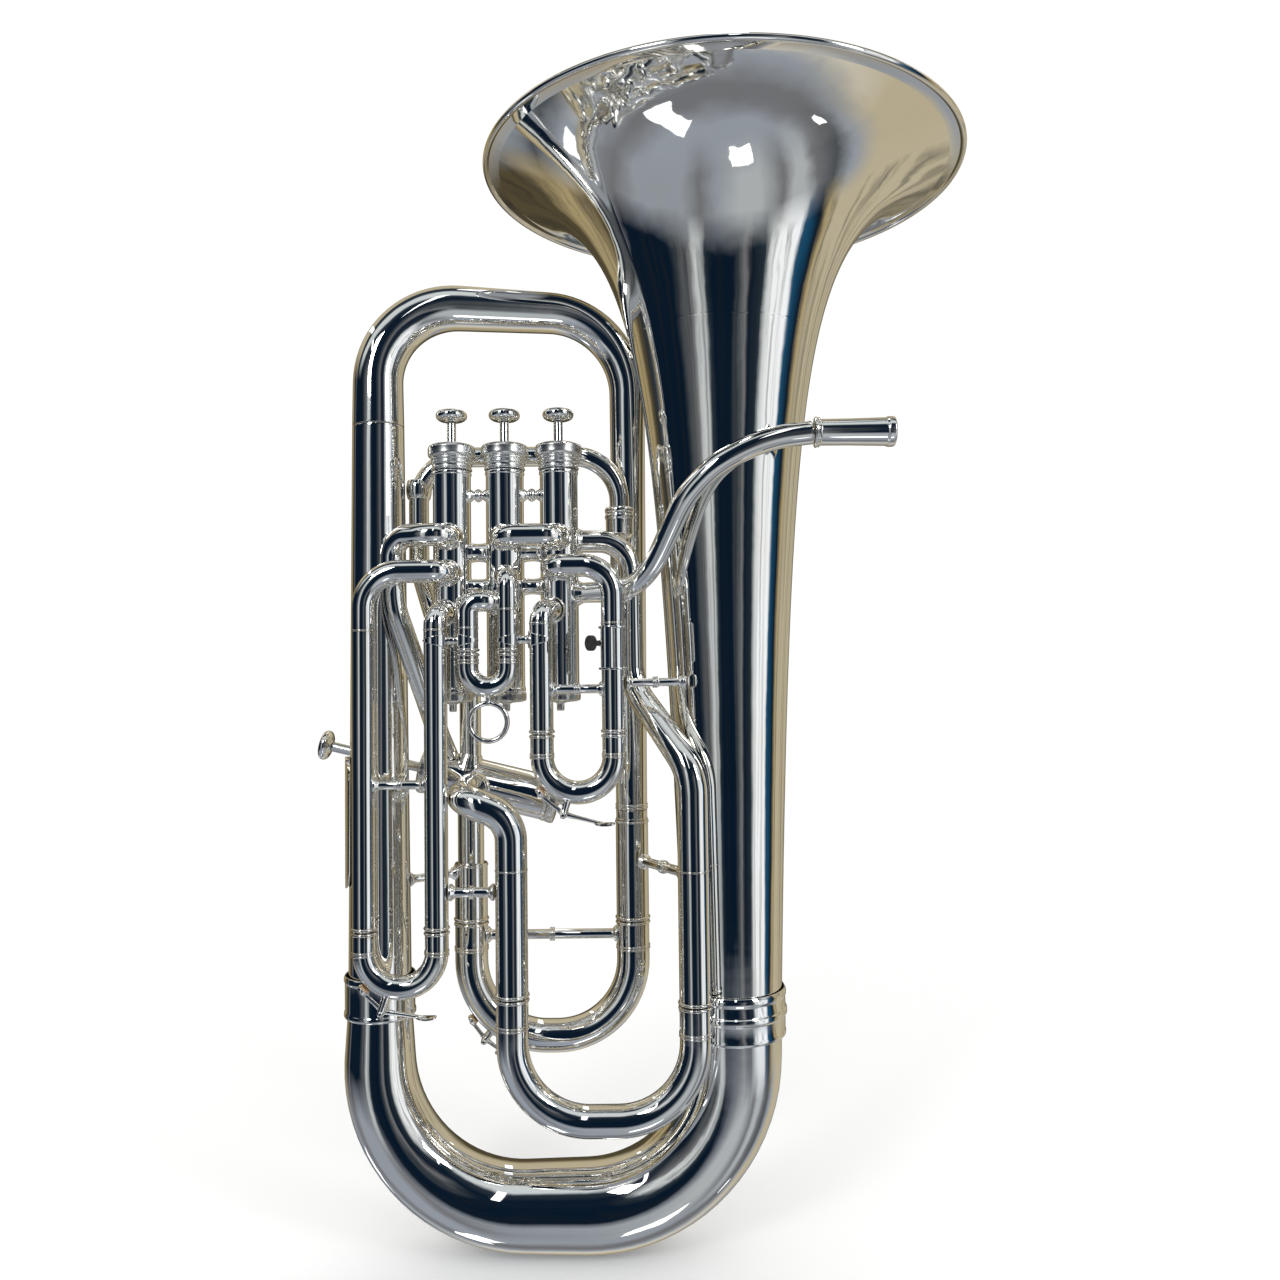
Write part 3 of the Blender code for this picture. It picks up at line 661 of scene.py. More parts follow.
def build_slide_1():
    left, right, end = ends = (-4.2, 39.0, 324.0)
    x = VALVE_X[1]
    left_leg = ([(x - 4, CASING_FRONT, 399), (left, SLIDE_Y, 399), (left, SLIDE_Y, end)], [9.0])
    right_leg = ([(x - 3, CASING_FRONT, 425), (x - 3, SLIDE_Y, 425), (right, SLIDE_Y, 425),
                  (right, SLIDE_Y, end)], [8.0, 18.0])
    braced_slide(1, ends, (left_leg, right_leg), 66.0, 350.5, 288.5, 21.6, 50.0)


def build_slide_2():
    left, right, end = -48.4, -24.3, 373.5
    x = VALVE_X[2]
    left_leg = rounded([(x - 5, CASING_FRONT, 404), (x - 5, SLIDE_Y, 404), (left, SLIDE_Y, 404),
                        (left, SLIDE_Y, end)], [7.0, 7.0])
    right_leg = rounded([(x + 2, CASING_FRONT, 419.5), (right, SLIDE_Y, 419.5), (right, SLIDE_Y, end)],
                        [8.0])
    for way, leg, seam in (("left", left_leg, 14.5), ("right", right_leg, 25.5)):
        skin(f"slide_2_receiver_{way}", receiver_mesh(leg, SMALL_TUBE, seam),
             name=f"slide_2_branch_{way}")
    bow = slide_mesh(left, right, SLIDE_Y, end, end, 352.3, SMALL_TUBE, 11.8, 22.0, 6.5)
    skin("valve_slide_2", bow)
    wire = 1.55
    turns = [2 * math.pi * i / 14 for i in range(14)]
    section = [(11.4 + wire * math.cos(turn), wire * math.sin(turn)) for turn in turns]
    post = turned([(0, 1.9), (0.35, 1.5), (0.7, 1.5), (1, 2.6)], (0, 10.6, 0), (0, 16.4, 0),
                  softness=0.3)
    ring = lathe_mesh(section, 72, closed=True)
    skin("pull_ring", ring, ((left + right) / 2, SLIDE_Y, 331.2), (math.radians(90), 0, 0),
         extra=[post])


def build_slide_3():
    left, right, end = ends = (-111.2, -67.9, 208.0)
    x = VALVE_X[3]
    left_leg = ([(x - 1, CASING_FRONT, 422.5), (x - 1, SLIDE_Y, 422.5), (left, SLIDE_Y, 422.5),
                 (left, SLIDE_Y, end)], [8.0, 22.0])
    right_leg = ([(x - 3, CASING_FRONT, 398), (right, SLIDE_Y, 398), (right, SLIDE_Y, end)], [9.0])
    braced_slide(3, ends, (left_leg, right_leg), 179.0, 294.3, 174.0, 21.3, 90.0)


def build_slide_4():
    left, right = -23.2, 85.8
    end_left, end_right = 168.0, 162.5
    left_leg = rounded([(-54, 14.4, 286), (-54, FRONT_Y, 286), (left, FRONT_Y, 274),
                        (left, FRONT_Y, end_left)], [14.0, 20.0])
    skin("slide_4_receiver_left", receiver_mesh(left_leg, WIDE_TUBE, 75.0, 48),
         name="slide_4_branch_left")
    return_tube = rounded([(VALVE_X[1] + 12.6, -9.0, 443), (50, -6, 443), (50, -5, 352),
                           (right, FRONT_Y, 300), (right, FRONT_Y, end_right)], [20.0, 34.0, 34.0])
    widen = WIDE_TUBE - VALVE_BORE_TUBE
    mesh = receiver_mesh(return_tube, lambda share: WIDE_TUBE - widen * limit((share - 0.42) * 3.0),
                         79.0, 48)
    skin("slide_4_receiver_right", mesh, name="slide_4_branch_right")
    bow = slide_mesh(left, right, FRONT_Y, end_left, end_right, 94.5, WIDE_TUBE, 46.0, 60.0, 18.0, 48)
    skin("valve_slide_4", bow)


# ---- valves --------------------------------------------------------------------------

def build_valve(number, base, rotation, casing, cap, length, cap_height, stem, lift):
    """Casing, caps, piston and button of one valve; local +Z points to the button."""
    bore = casing - 1.0
    place = {"origin": base, "rotation": rotation}
    cap_top = length + cap_height
    lip = casing + 0.4
    hole = stem + 0.5

    def part(name, mesh, node, material=PLATE, slot="silver_plate"):
        skin(f"{node}_{number}", mesh, name=f"{name}_{number}", slot=slot, material=material, **place)

    band = casing + 0.5
    wall = [(bore, 0), (band, 0), (band, 2.2), (casing, 2.8), (casing, length - 2.6),
            (band, length - 2.2), (band, length - 0.8), (casing, length), (bore, length)]
    part("casing_skin", lathe_mesh(softened(wall, 0.35, closed=True), 72, closed=True), "valve_casing")
    shape = [(lip + 0.3, 0.03), (lip + 0.7, 0.09), (lip, 0.14), (lip, 0.24), (lip + 0.8, 0.27),
             (lip + 0.8, 0.33), (lip + 0.1, 0.36), (lip + 0.1, 0.41), (lip + 0.9, 0.44),
             (lip + 0.5, 0.5), (cap - 0.5, 0.55), (cap, 0.62), (cap, 0.86), (cap - 0.8, 0.95),
             (cap - 2.8, 1.0)]
    profile = [(hole, length + GAP)]
    profile += [(radius, length + share * cap_height) for radius, share in shape]
    profile += [(hole + 2.2, cap_top - 0.6), (hole + 1.6, cap_top), (hole, cap_top)]
    ribs = (length + 0.63 * cap_height, length + 0.85 * cap_height, cap - 0.6, 0.12)
    part("top_cap_skin", lathe_mesh(softened(profile, 0.4, closed=True), 144, closed=True, ribs=ribs),
         "top_cap", CAP_PLATE)
    nipple = 2.4
    profile = [(0, -12.2), (nipple - 0.5, -12.2), (nipple, -11.4), (nipple, -7.6), (nipple + 1.2, -6.9),
               (casing - 2.4, -6.4), (casing + 0.2, -5.8), (casing + 0.8, -4.8), (casing + 0.8, -1.6),
               (casing + 0.3, -GAP), (0, -GAP)]
    ribs = (-5.0, -1.4, casing, 0.2)
    part("bottom_cap_skin", lathe_mesh(softened(profile, 0.3), 120, ribs=ribs), "bottom_cap", CAP_PLATE)

    piston_bottom = length * 0.36
    piston_top = length - STROKE * 0.2
    button_base = cap_top + lift
    profile = [(0, piston_bottom), (bore - 0.5, piston_bottom), (bore - 0.5, piston_top),
               (stem + 1.4, piston_top + 0.8), (stem, piston_top + 1.6), (stem, button_base - GAP),
               (0, button_base - GAP)]
    part("piston_skin", lathe_mesh(softened(profile, 0.3), 56), "piston", PISTON_METAL, "valve_metal")
    shape = [(0, 0), (stem + 1.0, 0), (stem + 1.4, 0.5), (7.4, 0.9), (9.3, 2.3), (9.9, 4.1),
             (9.4, 5.9), (7.9, 7.1), (6.2, 7.3), (4.2, 6.6), (0, 6.2)]
    profile = [(radius, button_base + rise) for radius, rise in shape]
    part("finger_button_skin", lathe_mesh(softened(profile, 0.9, count=4), 64), "finger_button",
         BUTTON_PLATE, "button_silver")
    steps, turns, reach, foot = 160, 5, bore - 3.0, 1.6
    rise = piston_bottom - STROKE - foot - foot
    pitch = rise / (2 * math.pi * turns)
    coil = []
    for i in range(steps + 1):
        angle = 2 * math.pi * turns * i / steps
        point = Vector((reach * math.cos(angle), reach * math.sin(angle), foot + rise * i / steps))
        coil.append((point, Vector((-point.y, point.x, pitch)).normalized()))
    part("valve_spring_skin", tube_mesh(coil, 0.8, wall=0.5, sides=12), "valve_spring", SPRING_METAL,
         "spring_steel")


def build_valves():
    for number, x in VALVE_X.items():
        build_valve(number, (x, VALVE_Y, VALVE_BASE_Z), (0, 0, 0), CASING_RADIUS, cap=14.8,
                    length=138.0, cap_height=16.7, stem=2.8, lift=14.6)
    build_valve(4, VALVE_4_BASE, (0, math.radians(VALVE_4_TILT), 0), VALVE_4_RADIUS, cap=16.2,
                length=76.0, cap_height=11.0, stem=3.2, lift=61.0)


def build_knuckles():
    """The short tubes and ball braces that join neighbouring casings."""
    sunk = 1.6
    tubes = [(z, [(0, radius + 1.5), (0.22, radius + 0.3), (0.5, radius), (0.78, radius + 0.3),
                  (1, radius + 1.5)], 40, 1.0) for z, radius in ((436.0, 5.6), (414.5, 4.8))]
    ball = (472.0, [(0, 5.0), (0.2, 3.4), (0.3, 2.3), (0.38, 3.6), (0.5, 4.3), (0.62, 3.6), (0.7, 2.3),
                    (0.8, 3.4), (1, 5.0)], 32, 0.7)
    knuckles = []
    for right, left in ((1, 2), (2, 3)):
        for z, profile, sides, softness in tubes + [ball]:
            start = (VALVE_X[left] + CASING_RADIUS - sunk, VALVE_Y, z)
            end = (VALVE_X[right] - CASING_RADIUS + sunk, VALVE_Y, z)
            knuckles.append(turned(profile, start, end, sides, softness))
    fitting(make_piece("casing_knuckles", knuckles[0], extra=knuckles[1:]))


def collar(casing, aim, offset, height, radius):
    """A flared ring round a tube, cut to the round wall of the casing it meets.

    casing is (foot, axis, radius); aim points away from the casing, offset is how far the tube lies
    to the left of its middle and height how far up the casing.
    """
    foot, axis, wall_radius = casing
    aim = Vector(aim)
    left = axis.cross(aim)
    bm, tarnish = new_mesh()
    rings = []
    for grow, along, follow, amount in ((1.4, -0.1, 1, 1.0), (1.4, 0.7, 1, 0.6), (1.1, 1.2, 1, 0.0),
                                        (0.6, 1.5, 1, 0.0), (0.45, 2.2, 0, 0.0), (0.3, 2.5, 0, 0.3),
                                        (0.0, 2.6, 0, 1.0)):
        ring = []
        for k in range(48):
            angle = 2 * math.pi * k / 48
            across = offset + (radius + grow) * math.cos(angle)
            wall = math.sqrt(max(wall_radius ** 2 - across ** 2, 40.0)) if follow else wall_radius
            up = height + (radius + grow) * math.sin(angle)
            ring.append(bm.verts.new(foot + axis * up + aim * (wall + along) + left * across))
            ring[-1][tarnish] = amount
        rings.append(ring)
    for first, second in zip(rings, rings[1:]):
        bridge(bm, first, second)
    return bm


def build_collars():
    """Collars where the slides, the leadpipe and the linking tubes enter the casings."""
    one, two, three = ((Vector((VALVE_X[n], VALVE_Y, 0)), Vector((0, 0, 1)), CASING_RADIUS)
                       for n in (1, 2, 3))
    tilt = math.radians(VALVE_4_TILT)
    along = Vector((math.sin(tilt), 0, math.cos(tilt)))
    four = (Vector(VALVE_4_BASE), along, VALVE_4_RADIUS)
    over = (math.cos(tilt), 0, -math.sin(tilt))
    under = (-math.cos(tilt), 0, math.sin(tilt))
    front, side, back = (0, -1, 0), (1, 0, 0), (0, 1, 0)
    collars = [collar(*joint) for joint in (
        (one, front, -4.0, 399.0, 7.0), (one, front, -3.0, 425.0, 7.0), (one, front, 0.0, 444.0, 7.0),
        (two, front, -5.0, 404.0, 6.3), (two, front, 2.0, 419.5, 6.3), (two, front, 0.0, 444.0, 7.0),
        (three, front, -3.0, 398.0, 7.0), (three, front, -1.0, 422.5, 7.0),
        (three, front, 0.0, 445.0, 7.0), (one, side, -1.0, 410.0, 6.35), (one, side, 5.0, 443.0, 7.0),
        (one, back, -3.6, 412.0, 6.4), (three, back, 5.4, 380.0, 6.4), (three, back, -4.6, 360.0, 7.0),
        (four, over, -6.0, 56.3, 7.0), (four, under, 0.0, 49.9, 8.6), (four, front, -3.5, 48.6, 9.6))]
    fitting(make_piece("casing_collars", collars[0], extra=collars[1:]))


# ---- leadpipe and linking tubes ------------------------------------------------------

def build_leadpipe():
    route = curve_through([(157.5, -58, 499.5), (138.6, -58, 497), (120.9, -58, 491.3),
                           (103.2, -57, 482), (91.3, -54, 472.1), (81.5, -50, 460),
                           (72.7, -41, 442.4), (64.8, -33, 427.1), (55.5, -26, 416.5),
                           (44.3, -20.6, 411.5), (18.0, -15.0, 410)])
    skin("leadpipe", tube_mesh(route, lambda share: 6.9 - 0.6 * share, sides=44))
    low, high = span("mouthpiece_receiver")
    length = high.x - low.x
    profile = [(6.3, 0), (7.6, 0), (9.1, 0.5), (9.1, 1.5), (8.3, 1.9), (8.3, 2.4), (9.0, 2.8),
               (7.7, 3.6), (7.8, 20), (8.3, length - 5.2), (8.9, length - 4.2), (8.9, length - 1.0),
               (8.3, length), (7.2, length), (6.6, 10)]
    skin("mouthpiece_receiver", ring_mesh(profile, softness=0.6), (low.x, -58, 499.5),
         (0, math.radians(90), 0))


def build_links():
    front, cross_y, feed_y, arch_y = CASING_FRONT, -35.5, 24, 9
    cross = rounded([(VALVE_X[2], front, 444), (VALVE_X[2], cross_y, 444), (VALVE_X[1], cross_y, 444),
                     (VALVE_X[1], front, 444)], 8.6)
    skin("crossover_2_1", tube_mesh(cross, VALVE_BORE_TUBE, sides=48))
    link = rounded([(VALVE_X[3], front, 445), (VALVE_X[3], cross_y, 445), (-75, cross_y, 445),
                    (-98, -22.5, 446), (-96, -22.5, 402), (-80, -4, 345), (-76, 16, 320),
                    (-72, feed_y, 306.5)], [8.6, 16.0, 14.0, 40.0, 30.0, 12.0])
    skin("crossover_3_4", tube_mesh(link, VALVE_BORE_TUBE, sides=44))
    x = VALVE_X[3] + 4.6
    feed = rounded([(x, VALVE_Y + 12.4, 360), (x, feed_y, 360), (x, feed_y, 303.5)], 11.0)
    skin("valve_4_feed", tube_mesh(feed, VALVE_BORE_TUBE))
    left, right = -87.0, 43.0
    arch = rounded([(-67.0, 0.2, 380), (-73.0, arch_y, 382), (left, arch_y, 430), (left, arch_y, 501),
                    (right, arch_y, 501), (right, arch_y, 412), (9.0, arch_y, 412), (9.0, -0.6, 412)],
                   [7.5, 30.0, 30.0, 30.0, 12.0, 7.0])
    skin("compensating_arch", tube_mesh(arch, 6.4, sides=40))
    profile = [(6.3, 447), (7.0, 447), (9.0, 449.5), (9.0, 459), (9.6, 460), (9.6, 461.6), (9.0, 462.2),
               (9.0, 463.4), (9.6, 464), (9.6, 465.6), (8.8, 467), (6.3, 467)]
    fitting(make_piece("arch_ferrule", ring_mesh(profile, 56), (right, arch_y, 0)))
    profile = [(6.3, 474), (7.2, 474), (8.0, 477), (8.2, 480), (8.0, 483), (7.2, 486), (6.3, 486)]
    fitting(make_piece("arch_knuckle", ring_mesh(profile, 56), (left, arch_y, 0)))


# ---- braces, lyre socket and water keys ----------------------------------------------

def build_braces():
    skin("bell_brace", brace((46.5, SLIDE_Y, 354), (82.0, -30.5, 354), 2.5))
    skin("slide_3_4_brace", brace((-60.2, SLIDE_Y, 230), (-33.4, FRONT_Y, 230), 3.0))
    skin("main_4_brace", brace((56.0, 14.8, 238), (80.5, -26.4, 238), 3.0))
    rod = brace((BRANCH_X + 17.5, 4.5, 230), (MAIN_LEFT_X - 9.6, BACK_Y - 4.0, 230), 2.6)
    fitting(make_piece("branch_brace", rod))
    tubes = [((-67.9, SLIDE_Y), VALVE_BORE_TUBE, 0), ((-48.4, SLIDE_Y), SMALL_TUBE, 180),
             ((-24.3, SLIDE_Y), SMALL_TUBE, 0), ((-4.2, SLIDE_Y), VALVE_BORE_TUBE, 180)]
    height = 380.5
    plates = [saddle((*axis, height), radius, facing, 10.5, 150, 0.9) for axis, radius, facing in tubes]
    plates += [turned([(0, 3.4), (0.3, 2.4), (0.7, 2.4), (1, 3.4)], (left, SLIDE_Y, height),
                      (right, SLIDE_Y, height)) for left, right in ((-61.2, -54.4), (-18.3, -10.9))]
    fitting(make_piece("slide_saddles", plates[0], extra=plates[1:]))


def build_lyre_socket():
    centre = middle("lyre_socket")
    low, high = span("lyre_socket")
    size = high - low
    bm, _ = new_mesh()
    loops = []
    edge, sheet = 3.3, 1.3
    for inset, z in ((0, low.z), (0, high.z), (sheet, high.z), (sheet, low.z)):
        half = Vector((size.x / 2 - inset, size.y / 2 - inset))
        corner = max(0.3, edge - inset * 0.6)
        loop = []
        for turn, (sx, sy) in enumerate(((1, 1), (-1, 1), (-1, -1), (1, -1))):
            for k in range(5):
                angle = math.pi / 2 * (turn + k / 4)
                loop.append(bm.verts.new((centre.x + sx * (half.x - corner) + corner * math.cos(angle),
                                          centre.y + sy * (half.y - corner) + corner * math.sin(angle),
                                          z)))
        loops.append(loop)
    for first, second in zip(loops, loops[1:] + loops[:1]):
        bridge(bm, first, second)
    skin("lyre_socket", bm)
    shaft = turned([(0, 2.9), (0.3, 2.9), (0.4, 1.9), (1, 1.9)], (34.9, -46.6, 377.5),
                   (31.2, -49.9, 377.5))
    lips = [turned([(0, 7.1), (0.05, 8.7), (0.95, 8.7), (1, 7.1)], (39.0, SLIDE_Y, z),
                   (39.0, SLIDE_Y, z + 1.5)) for z in (low.z - 1.2, high.z - 0.4)]
    fitting(make_piece("lyre_clip", shaft, extra=lips))

    profile = [(0, 0), (1.6, 0), (1.6, 3.4), (3.9, 3.4), (4.6, 4.0), (4.6, 6.9), (4.1, 7.4), (2.2, 7.4),
               (1.8, 7.0), (0, 7.0)]
    aim = Vector((-0.85, -0.53, 0)).to_track_quat("Z", "Y").to_euler()
    mesh = lathe_mesh(softened(profile, 0.25), 72, ribs=(3.9, 7.1, 4.0, 0.3))
    skin("lyre_screw", mesh, (31.0, -50.0, 377.5), aim, BLACK, slot="black_plastic")


def build_water_key(name, carrier, hinge, cup, plate, bow_centre, bow_radius):
    """A lever with a cork cup and a finger plate, and the saddle it turns on.

    cup and plate are (x, z) offsets from the hinge, bow_centre the middle of the bow's curve.
    """
    hinge = Vector(hinge)
    cup_place = Vector((cup[0], 0, cup[1]))
    plate_place = Vector((plate[0], 0, plate[1]))
    toward = Vector((bow_centre[0], hinge.y, bow_centre[1])) - hinge
    inward = (toward - cup_place).normalized()
    cup_mesh = turned([(0, 2.0), (0.3, 3.6), (1, 3.6)], cup_place - inward * 2.0,
                      cup_place + inward * 0.9)
    arm = turned([(0, 1.9), (0.3, 1.3), (0.8, 1.2), (1, 1.8)], (0, 0, 0), cup_place - inward * 1.4)
    lever = turned([(0, 1.9), (0.3, 1.3), (0.75, 1.1), (1, 1.2)], (0, 0, 0), plate_place)
    pin = turned([(0, 1.4), (0.06, 2.2), (0.2, 2.2), (0.8, 2.2), (0.94, 2.2), (1, 1.4)], (0, -4.2, 0),
                 (0, 4.2, 0))
    paddle, _ = new_mesh()
    layers = []
    length, width = 6.2, 3.3
    for z, swell in ((-0.9, 0.82), (-0.5, 1.0), (0.3, 1.0), (0.75, 0.86)):
        layers.append([])
        for k in range(40):
            angle = 2 * math.pi * k / 40
            c, s = math.cos(angle), math.sin(angle)
            x = length * swell * math.copysign(abs(c) ** 0.8, c)
            y = width * swell * math.copysign(abs(s) ** 0.8, s)
            dish = 0.7 * (x / length) ** 2
            layers[-1].append(paddle.verts.new(plate_place + Vector((x, y, z + dish))))
    for first, second in zip(layers, layers[1:]):
        bridge(paddle, first, second)
    paddle.faces.new(layers[0])
    paddle.faces.new(layers[-1])
    skin(name, pin, hinge, extra=[arm, lever, cup_mesh, paddle])
    cork = turned([(0, 3.1), (1, 3.1)], cup_place + inward * 0.8, cup_place + inward * 1.9,
                  softness=0.2)
    fitting(make_piece(f"{name}_cork", cork, hinge, material=CORK), BODY_OF[name])

    outward = toward.normalized()
    foot = hinge + outward * (toward.length - bow_radius)
    posts = []
    for side in (-5.2, 5.2):
        top = hinge + Vector((0, side, 0)) - outward * 2.2
        posts.append(turned([(0, 1.2), (0.25, 2.3), (0.5, 2.0), (1, 2.6)], top,
                            foot + Vector((0, side * 0.55, 0)), softness=0.5))
    ends = [turned([(0, 1.0), (0.3, 1.9), (0.7, 1.9), (1, 1.0)], hinge + Vector((0, side - 1.6, 0)),
                   hinge + Vector((0, side + 1.6, 0)), softness=0.3) for side in (-5.8, 5.8)]
    fitting(make_piece(f"{name}_saddle", posts[0], extra=posts[1:] + ends), carrier)


def build_water_keys():
    for key in (("water_key_1", "slide_1", (8.5, SLIDE_Y, 275.8), (-14.0, 13.2), (24.5, -6.5),
                 (16.9, 310.5), 27.5),
                ("water_key_3", "slide_3", (-100.4, SLIDE_Y, 160.5), (-11.4, 12.6), (26.0, -4.5),
                 (-89.6, 195.3), 27.0),
                ("water_key_main", "main_slide", (-49.5, BACK_Y, 120.6), (-8.0, 12.6), (12.5, -9.5),
                 (-8.0, 172.5), 59.0)):
        build_water_key(*key)


# ---- room, light and camera ----------------------------------------------------------

NAVY = (0.003, 0.010, 0.024)
SLATE = (0.022, 0.034, 0.048)
BLUE = (0.012, 0.085, 0.18)
SMOKE = (0.075, 0.085, 0.095)
ASH = (0.17, 0.175, 0.19)
MIST = (0.30, 0.33, 0.38)
CREAM = (0.50, 0.44, 0.31)
SAND = (0.40, 0.32, 0.17)
UMBER = (0.085, 0.068, 0.036)
HAZE = (0.43, 0.46, 0.49)
PALE = (0.62, 0.66, 0.68)
CLOTH = (0.68, 0.66, 0.60)
PANEL = (0.95, 0.98, 1.02)

# The room as the silver sees it, by degrees to the right of the camera's side: level with the
# object, and a little below it.
LEVEL = [(-180, UMBER), (-152, UMBER), (-146, SAND), (-130, SAND), (-122, UMBER), (-110, SLATE),
         (-105, ASH), (-100, NAVY), (-60, NAVY), (-48, SMOKE), (-38, ASH), (-33, PALE), (-27, PALE),
         (-21, SLATE), (-14, NAVY), (6, NAVY), (16, SMOKE), (21, ASH), (26, NAVY), (38, SLATE),
         (45, PALE), (52, PANEL), (72, PANEL), (76, BLUE), (90, NAVY), (97, SAND), (104, CREAM),
         (150, CREAM), (166, UMBER), (180, UMBER)]
LOW = [(-180, SAND), (-152, MIST), (-142, SMOKE), (-132, MIST), (-100, ASH), (-82, MIST), (-40, MIST),
       (-26, ASH), (-6, MIST), (13, HAZE), (32, HAZE), (50, ASH), (62, HAZE), (70, HAZE), (80, ASH),
       (96, SMOKE), (106, MIST), (120, CREAM), (145, CREAM), (152, MIST), (180, SAND)]
# Up and over, by degrees from the camera's side: 90 is straight up and -90 straight down.
OVER = [(-180, SAND), (-150, CLOTH), (-116, CLOTH), (-106, MIST), (-94, ASH), (-88, ASH), (-76, MIST),
        (-56, MIST), (-44, ASH), (-20, SLATE), (34, NAVY), (48, SLATE), (56, PALE), (74, PALE),
        (82, SLATE), (98, SLATE), (108, CREAM), (140, CREAM), (180, SAND)]
LAMP_LIGHT = (1.6, 1.65, 1.7)
PLAIN_WHITE = (1.04, 1.04, 1.04)
GLOOM = (0.01, 0.014, 0.02)
# Small lamps low in the room: the turns and then the heights that they span, as degrees and sines.
LAMPS = ((-100, -46, -0.965, -0.912), (6, 26, -0.88, -0.78), (-131, -120, -0.70, -0.60),
         (92, 96, -0.86, -0.82))


def ramp(tree, value, stops):
    """A colour ramp over an angle given as -1 to 1, with its stops in degrees."""
    node = tree.nodes.new("ShaderNodeValToRGB")
    elements = node.color_ramp.elements
    for degrees, colour in stops[1:-1]:
        elements.new((degrees / 180.0 + 1) / 2).color = (*colour, 1.0)
    elements[0].color = (*stops[0][1], 1.0)
    elements[-1].color = (*stops[-1][1], 1.0)
    tree.links.new(spread(tree, value, -1.0, 1.0), node.inputs[0])
    return node.outputs[0]


def turn_from_camera(tree, side, toward):
    """The angle of (side, toward) as -1 to 1; 0 is straight at the camera's side of the room."""
    return compute(tree, "DIVIDE", compute(tree, "ARCTAN2", side, toward), math.pi)


def build_world():
    """A dark room with bright panels in front and pale walls behind, seen in the silver.

    The camera and the floor see plain white instead.
    """
    world = bpy.context.scene.world = bpy.data.worlds.new("studio")
    world.use_nodes = True
    tree = world.node_tree
    tree.nodes.clear()
    direction = tree.nodes.new("ShaderNodeTexCoord").outputs["Generated"]
    parts = add_node(tree, "ShaderNodeSeparateXYZ", {0: direction}).outputs
    toward = times(tree, parts[1], -1.0)
    ripple = spread(tree, noise(tree, direction, 4.0, 3.0), 0.3, 0.7, -0.014, 0.014)
    around = compute(tree, "ADD", turn_from_camera(tree, parts[0], toward), ripple)
    over = compute(tree, "ADD", turn_from_camera(tree, parts[2], toward), ripple)
    height = compute(tree, "ADD", parts[2], ripple)
    walls = colour_mix(tree, spread(tree, height, -0.30, -0.50), ramp(tree, around, LEVEL),
                       ramp(tree, around, LOW))
    steep = compute(tree, "MAXIMUM", spread(tree, height, 0.30, 0.52), spread(tree, height, -0.72, -0.93))
    upright = add_node(tree, "ShaderNodeCombineXYZ", {0: around, 1: times(tree, height, 0.04)})
    clutter = noise(tree, upright.outputs[0], 34.0, 4.0)
    shade = compute(tree, "MAXIMUM", spread(tree, clutter, 0.36, 0.52, 0.45, 1.0),
                    spread(tree, height, -0.20, -0.36))
    walls = colour_mix(tree, shade, GLOOM, walls)
    room = colour_mix(tree, steep, walls, ramp(tree, over, OVER))
    lamps = ceiling_lights(tree, parts)
    for lamp in LAMPS:
        lamps = compute(tree, "MAXIMUM", lamps, low_lamp(tree, around, height, *lamp))
    room = colour_mix(tree, lamps, room, LAMP_LIGHT)
    seen = tree.nodes.new("ShaderNodeLightPath").outputs
    plain = compute(tree, "MAXIMUM", seen["Is Camera Ray"], seen["Is Diffuse Ray"])
    light = add_node(tree, "ShaderNodeBackground",
                     {"Color": colour_mix(tree, plain, room, PLAIN_WHITE), "Strength": 1.0})
    add_node(tree, "ShaderNodeOutputWorld", {"Surface": light.outputs[0]})


def low_lamp(tree, around, height, start, end, bottom, top):
    """1 inside a patch of the room between two turns and two heights, 0 elsewhere."""
    inside = 1.0
    for value, low, high in ((around, start / 180.0, end / 180.0), (height, bottom, top)):
        for edge, way in ((low, "GREATER_THAN"), (high, "LESS_THAN")):
            inside = times(tree, inside, compute(tree, way, value, edge))
    return inside


def ceiling_lights(tree, parts):
    """1 inside a grid of long lamps on the ceiling, 0 elsewhere."""
    up = compute(tree, "MAXIMUM", parts[2], 0.05)
    inside = compute(tree, "GREATER_THAN", parts[2], 0.5)
    for part, spacing, share in ((parts[0], 0.9, 0.10), (parts[1], 0.55, 0.6)):
        way = times(tree, compute(tree, "DIVIDE", part, up), spacing)
        lit = compute(tree, "LESS_THAN", compute(tree, "FRACT", way), share)
        inside = times(tree, inside, lit)
    return inside


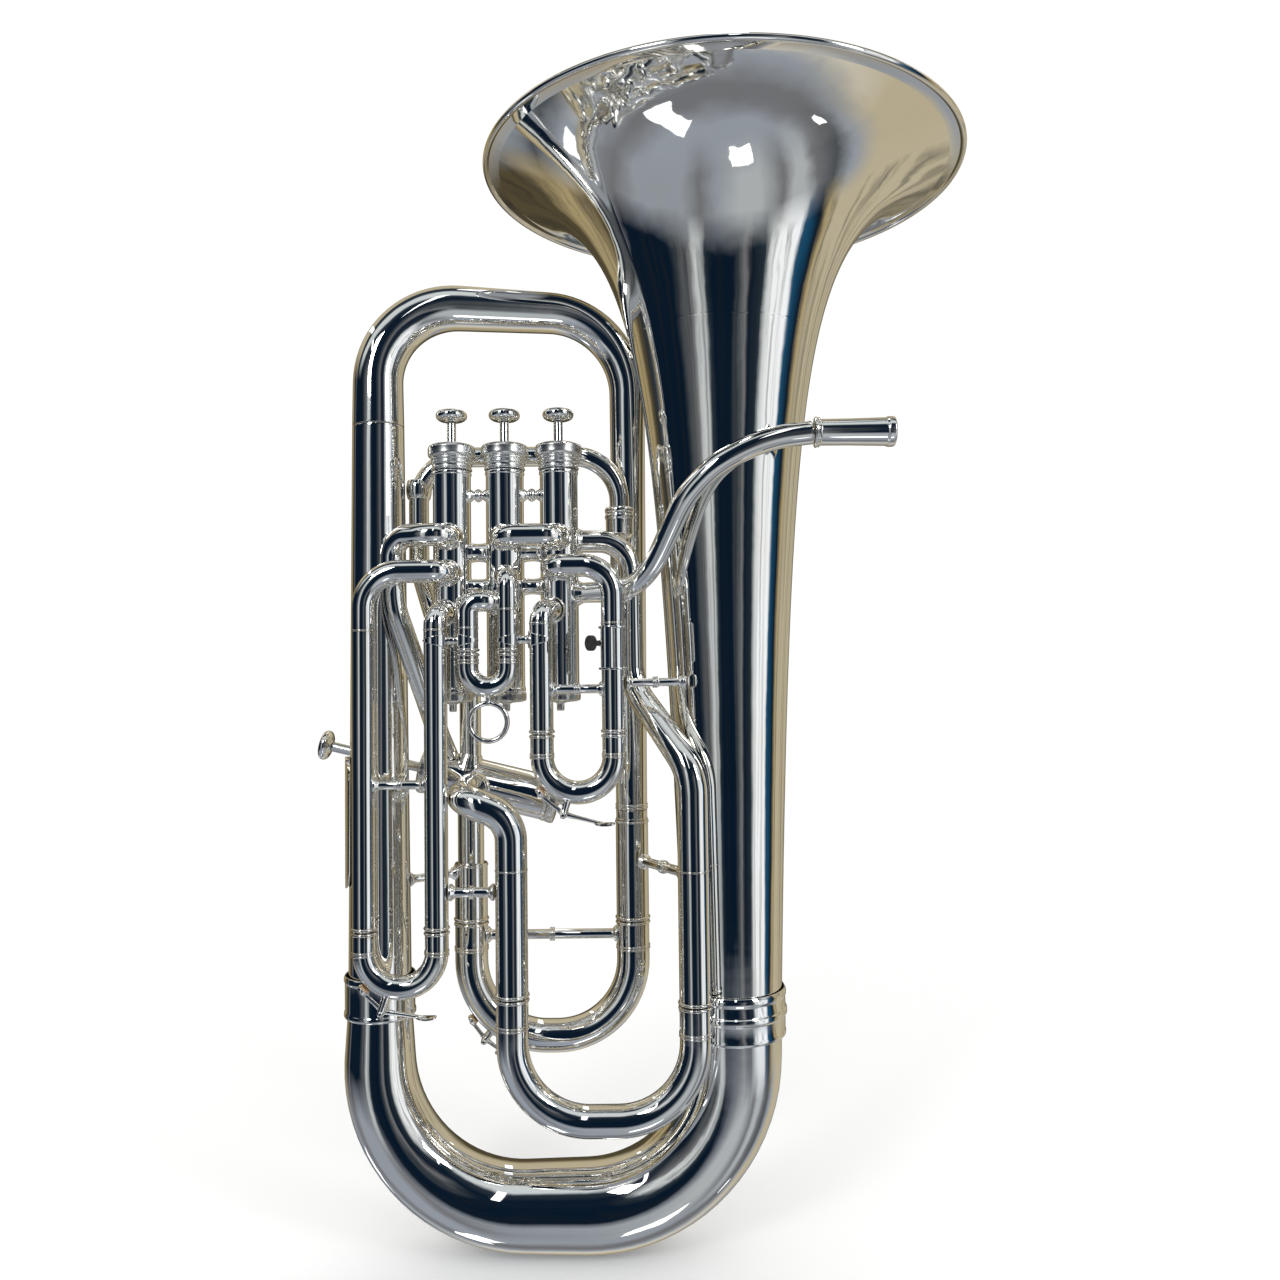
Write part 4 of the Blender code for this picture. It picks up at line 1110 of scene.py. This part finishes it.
def build_floor():
    """A pale floor for the soft contact shadow, its colour painted a little darker near the middle and
    whiter further out; the silver mirrors the room instead of it.
    """
    material, tree, shader, place = new_material("pale_floor")
    distance = add_node(tree, "ShaderNodeVectorMath", {0: place}, operation="LENGTH").outputs["Value"]
    # painted shade: the floor's colour grows whiter with distance from the middle, with a faint random
    # tone on top
    shade = compute(tree, "ADD", spread(tree, distance, 0.3, 1.5, 0.0, 0.9),
                    spread(tree, noise(tree, place, 6.0, 3.0), 0.3, 0.7, 0.0, 0.1))
    colour = colour_mix(tree, shade, (0.955, 0.955, 0.95), (1.0, 1.0, 1.0))
    set_inputs(tree, shader, {"Base Color": colour, "Roughness": 0.9, "Specular IOR Level": 0.0})
    bm = bmesh.new()
    bmesh.ops.create_circle(bm, segments=96, radius=3.0, cap_ends=True)
    mesh = bpy.data.meshes.new("floor")
    bm.to_mesh(mesh)
    bm.free()
    mesh.materials.append(material)
    floor = add_object("floor", mesh)
    floor.location = (0.0, 0.0, CAD_BOX[0].z)
    floor.visible_glossy = False
    floor.visible_shadow = False


def build_lights():
    """Two soft boxes in front, one to each side."""
    for name, place, target, size, power in (
            ("key", (-0.75, -1.3, 1.25), (0.03, 0, 0.35), (0.35, 0.55), 5.0),
            ("fill", (1.1, -0.9, 1.0), (0.03, 0, 0.35), (0.25, 0.6), 3.0)):
        light = bpy.data.lights.new(name, "AREA")
        light.shape = "RECTANGLE"
        light.size, light.size_y = size
        light.energy = power
        lamp = add_object(name, light)
        lamp.location = place
        lamp.rotation_euler = (Vector(target) - Vector(place)).to_track_quat("-Z", "Y").to_euler()


def build_camera():
    camera = add_object("camera", bpy.data.cameras.new("camera"))
    camera.data.sensor_width = 36.0
    camera.data.lens = 29.87
    camera.data.clip_start = 0.01
    pitch, roll = math.radians(1.91), math.radians(-0.67)
    turn = Matrix.Rotation(math.radians(90) + pitch, 4, "X") @ Matrix.Rotation(roll, 4, "Z")
    camera.matrix_world = Matrix.Translation(Vector((55.3, -676.6, 358.2)) * MM) @ turn
    bpy.context.scene.camera = camera
    bpy.context.scene.view_settings.view_transform = "Standard"


for build in (build_camera, build_world, build_floor, build_lights, build_bell, build_body,
              build_main_slide, build_valves, build_knuckles, build_collars, build_slide_1,
              build_slide_2, build_slide_3, build_slide_4, build_leadpipe, build_links, build_braces,
              build_lyre_socket, build_water_keys):
    build()
